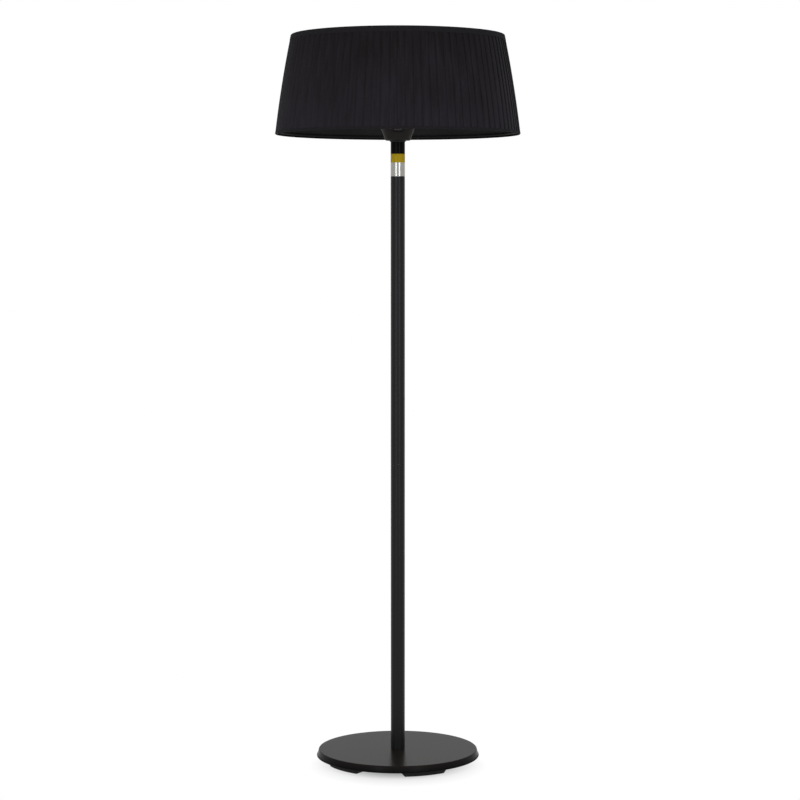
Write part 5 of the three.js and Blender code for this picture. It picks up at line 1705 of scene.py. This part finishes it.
class HEATER_OT_shade(Operator):
    """Pleat the shade's cloth and close its rims with the hem tapes"""

    bl_idname = "heater.shade"
    bl_label = "Shade"

    def execute(self, context):
        settings = context.scene.heater_shade
        hems = [self.make_hem("top_hem", high("top_hem"), -1, settings.top_hem, settings),
                self.make_hem("bottom_hem", low("bottom_hem"), 1, settings.bottom_hem, settings)]
        self.make_liner(settings)
        self.make_pleats(settings, hems)
        return {"FINISHED"}

    def make_liner(self, settings):
        low_end, high_end = low("shade_liner"), high("shade_liner")
        rows = 16
        heights = [low_end + (high_end - low_end) * i / rows for i in range(rows + 1)]
        outer = [(shade_radius(h, settings) - settings.liner_inset, h) for h in heights]
        inner = [(r - settings.liner_wall, h) for r, h in reversed(outer)]
        finished(revolved("shade_liner_cone", outer + inner, 184), "shade_liner", "shade_liner")

    def make_hem(self, node, rim, into, end, settings):
        """A tape folded over the rim: its outer face, `end` wide, the fold, and the leg inside. `into`
        is 1 where the shade lies above the rim and -1 where it lies below."""
        wall, turn_in = settings.hem_wall, settings.hem_leg

        def out(h):
            return shade_radius(rim + into * h, settings)

        def leg(h):
            return out(h) - settings.liner_inset - settings.liner_wall - PLAY

        def tape(h):
            return out(h) - settings.liner_inset + PLAY

        corners = [
            (out(end), end, 0.45 * MM), (out(0), 0, settings.hem_fold), (leg(0) - wall, 0, 1.4 * MM),
            (leg(turn_in) - wall, turn_in, 0.4 * MM), (leg(turn_in), turn_in, 0.4 * MM),
            (leg(wall), wall, 0.3 * MM), (tape(wall), wall, 0.3 * MM), (tape(end), end, 0.45 * MM),
        ]
        outline = filleted([(r, rim + into * h, f) for r, h, f in corners], 5)
        piece = finished(revolved(node + "_tape", outline, 276), "hem_tape", node)
        girth = math.tau * out(0)
        width = end + turn_in + (out(0) - leg(0) + wall)
        return piece

    def make_pleats(self, settings, hems):
        bottom, top = low("bottom_hem"), high("top_hem")
        wide, narrow = settings.bottom_radius, settings.top_radius
        under = 0.25 * MM  # of the crests below the tapes' outer faces
        lower = bottom + settings.bottom_hem - settings.hem_tuck
        upper = top - settings.top_hem + settings.hem_tuck
        height = upper - lower
        pitch = math.pi * (wide + narrow) / settings.pleats
        line = [Vector((way * pitch, depth * settings.pleat_depth)) for _, way, depth in PLEAT_LINE]
        flat_width = settings.pleats * sum((b - a).length for a, b in zip(line, line[1:]))
        piece = pleats_shape({
            "Pleats": settings.pleats, "Steps": settings.steps, "Rows": settings.rows,
            "Lower End": lower, "Upper End": upper, "Lower Rim": bottom, "Upper Rim": top,
            "Lower Radius": wide - under, "Upper Radius": narrow - under, "Bulge": settings.bulge,
            "Depth": settings.pleat_depth, "Wander": settings.wander, "Seed": settings.seed,
            "Flat Width": flat_width, "Flat Height": height, "Material": material("shade_cloth"),
        }).put_on(blank("pleated_cloth"))
        wall = piece.modifiers.new("cloth", "SOLIDIFY")
        wall.thickness = settings.cloth
        wall.offset = -1
        shade(baked(piece).data, math.radians(75))
        finished(piece, "shade_cloth", "pleated_cover")


# ------------------------------------------------------------------ what keeps its CAD shape

CAD_SHAPES = [
    "ballast_disc", "threaded_nipple", "pole_foot_plug", "pole_joiner_lower", "pole_joiner_upper",
    "thermal_cutout", "stem_plug", "shade_stud", "internal_flex", "terminal_block", "control_module",
    "tilt_switch",
]


class HEATER_OT_cad_finishes(Operator):
    """Give the CAD pieces that keep their shape the finishes that their slots name"""

    bl_idname = "heater.cad_finishes"
    bl_label = "CAD Finishes"

    def execute(self, context):
        for node in CAD_SHAPES:
            materials = frame["nodes"][node].data.materials
            materials.clear()
            materials.append(material(SLOTS[node]))
        return {"FINISHED"}


# ------------------------------------------------------------------ panel and registration

SETTINGS = {
    "heater_stage": StageSettings, "heater_coats": CoatSettings, "heater_base": BaseSettings,
    "heater_pole": PoleSettings, "heater_collar": CollarSettings, "heater_head": HeadSettings,
    "heater_carrier": CarrierSettings, "heater_shade": ShadeSettings,
}
STEPS = [
    HEATER_OT_stage, HEATER_OT_cad_finishes, HEATER_OT_base, HEATER_OT_feet,
    HEATER_OT_base_fittings, HEATER_OT_pole, HEATER_OT_wrap, HEATER_OT_collar, HEATER_OT_switch,
    HEATER_OT_reflector, HEATER_OT_housing, HEATER_OT_lamps, HEATER_OT_brackets, HEATER_OT_guard,
    HEATER_OT_carrier, HEATER_OT_shade,
]


class HEATER_PT_panel(Panel):
    """Lists the heater's settings and the steps that build it"""

    bl_idname = "HEATER_PT_panel"
    bl_label = "Patio Heater"
    bl_space_type = "VIEW_3D"
    bl_region_type = "UI"
    bl_category = "Heater"

    def draw(self, context):
        for step in STEPS:
            self.layout.operator(step.bl_idname)
        for name, kind in SETTINGS.items():
            box = self.layout.box()
            box.label(text=kind.__name__.replace("Settings", ""))
            for key in kind.__annotations__:
                box.prop(getattr(context.scene, name), key)


CLASSES = [*SETTINGS.values(), *STEPS, HEATER_PT_panel]


def register():
    for kind in CLASSES:
        bpy.utils.register_class(kind)
    for name, kind in SETTINGS.items():
        setattr(bpy.types.Scene, name, PointerProperty(type=kind))


def unregister():
    for name in SETTINGS:
        delattr(bpy.types.Scene, name)
    for kind in reversed(CLASSES):
        bpy.utils.unregister_class(kind)


def main():
    register()
    for step in STEPS:
        group, call = step.bl_idname.split(".")
        getattr(getattr(bpy.ops, group), call)()


if __name__ == "__main__":
    main()
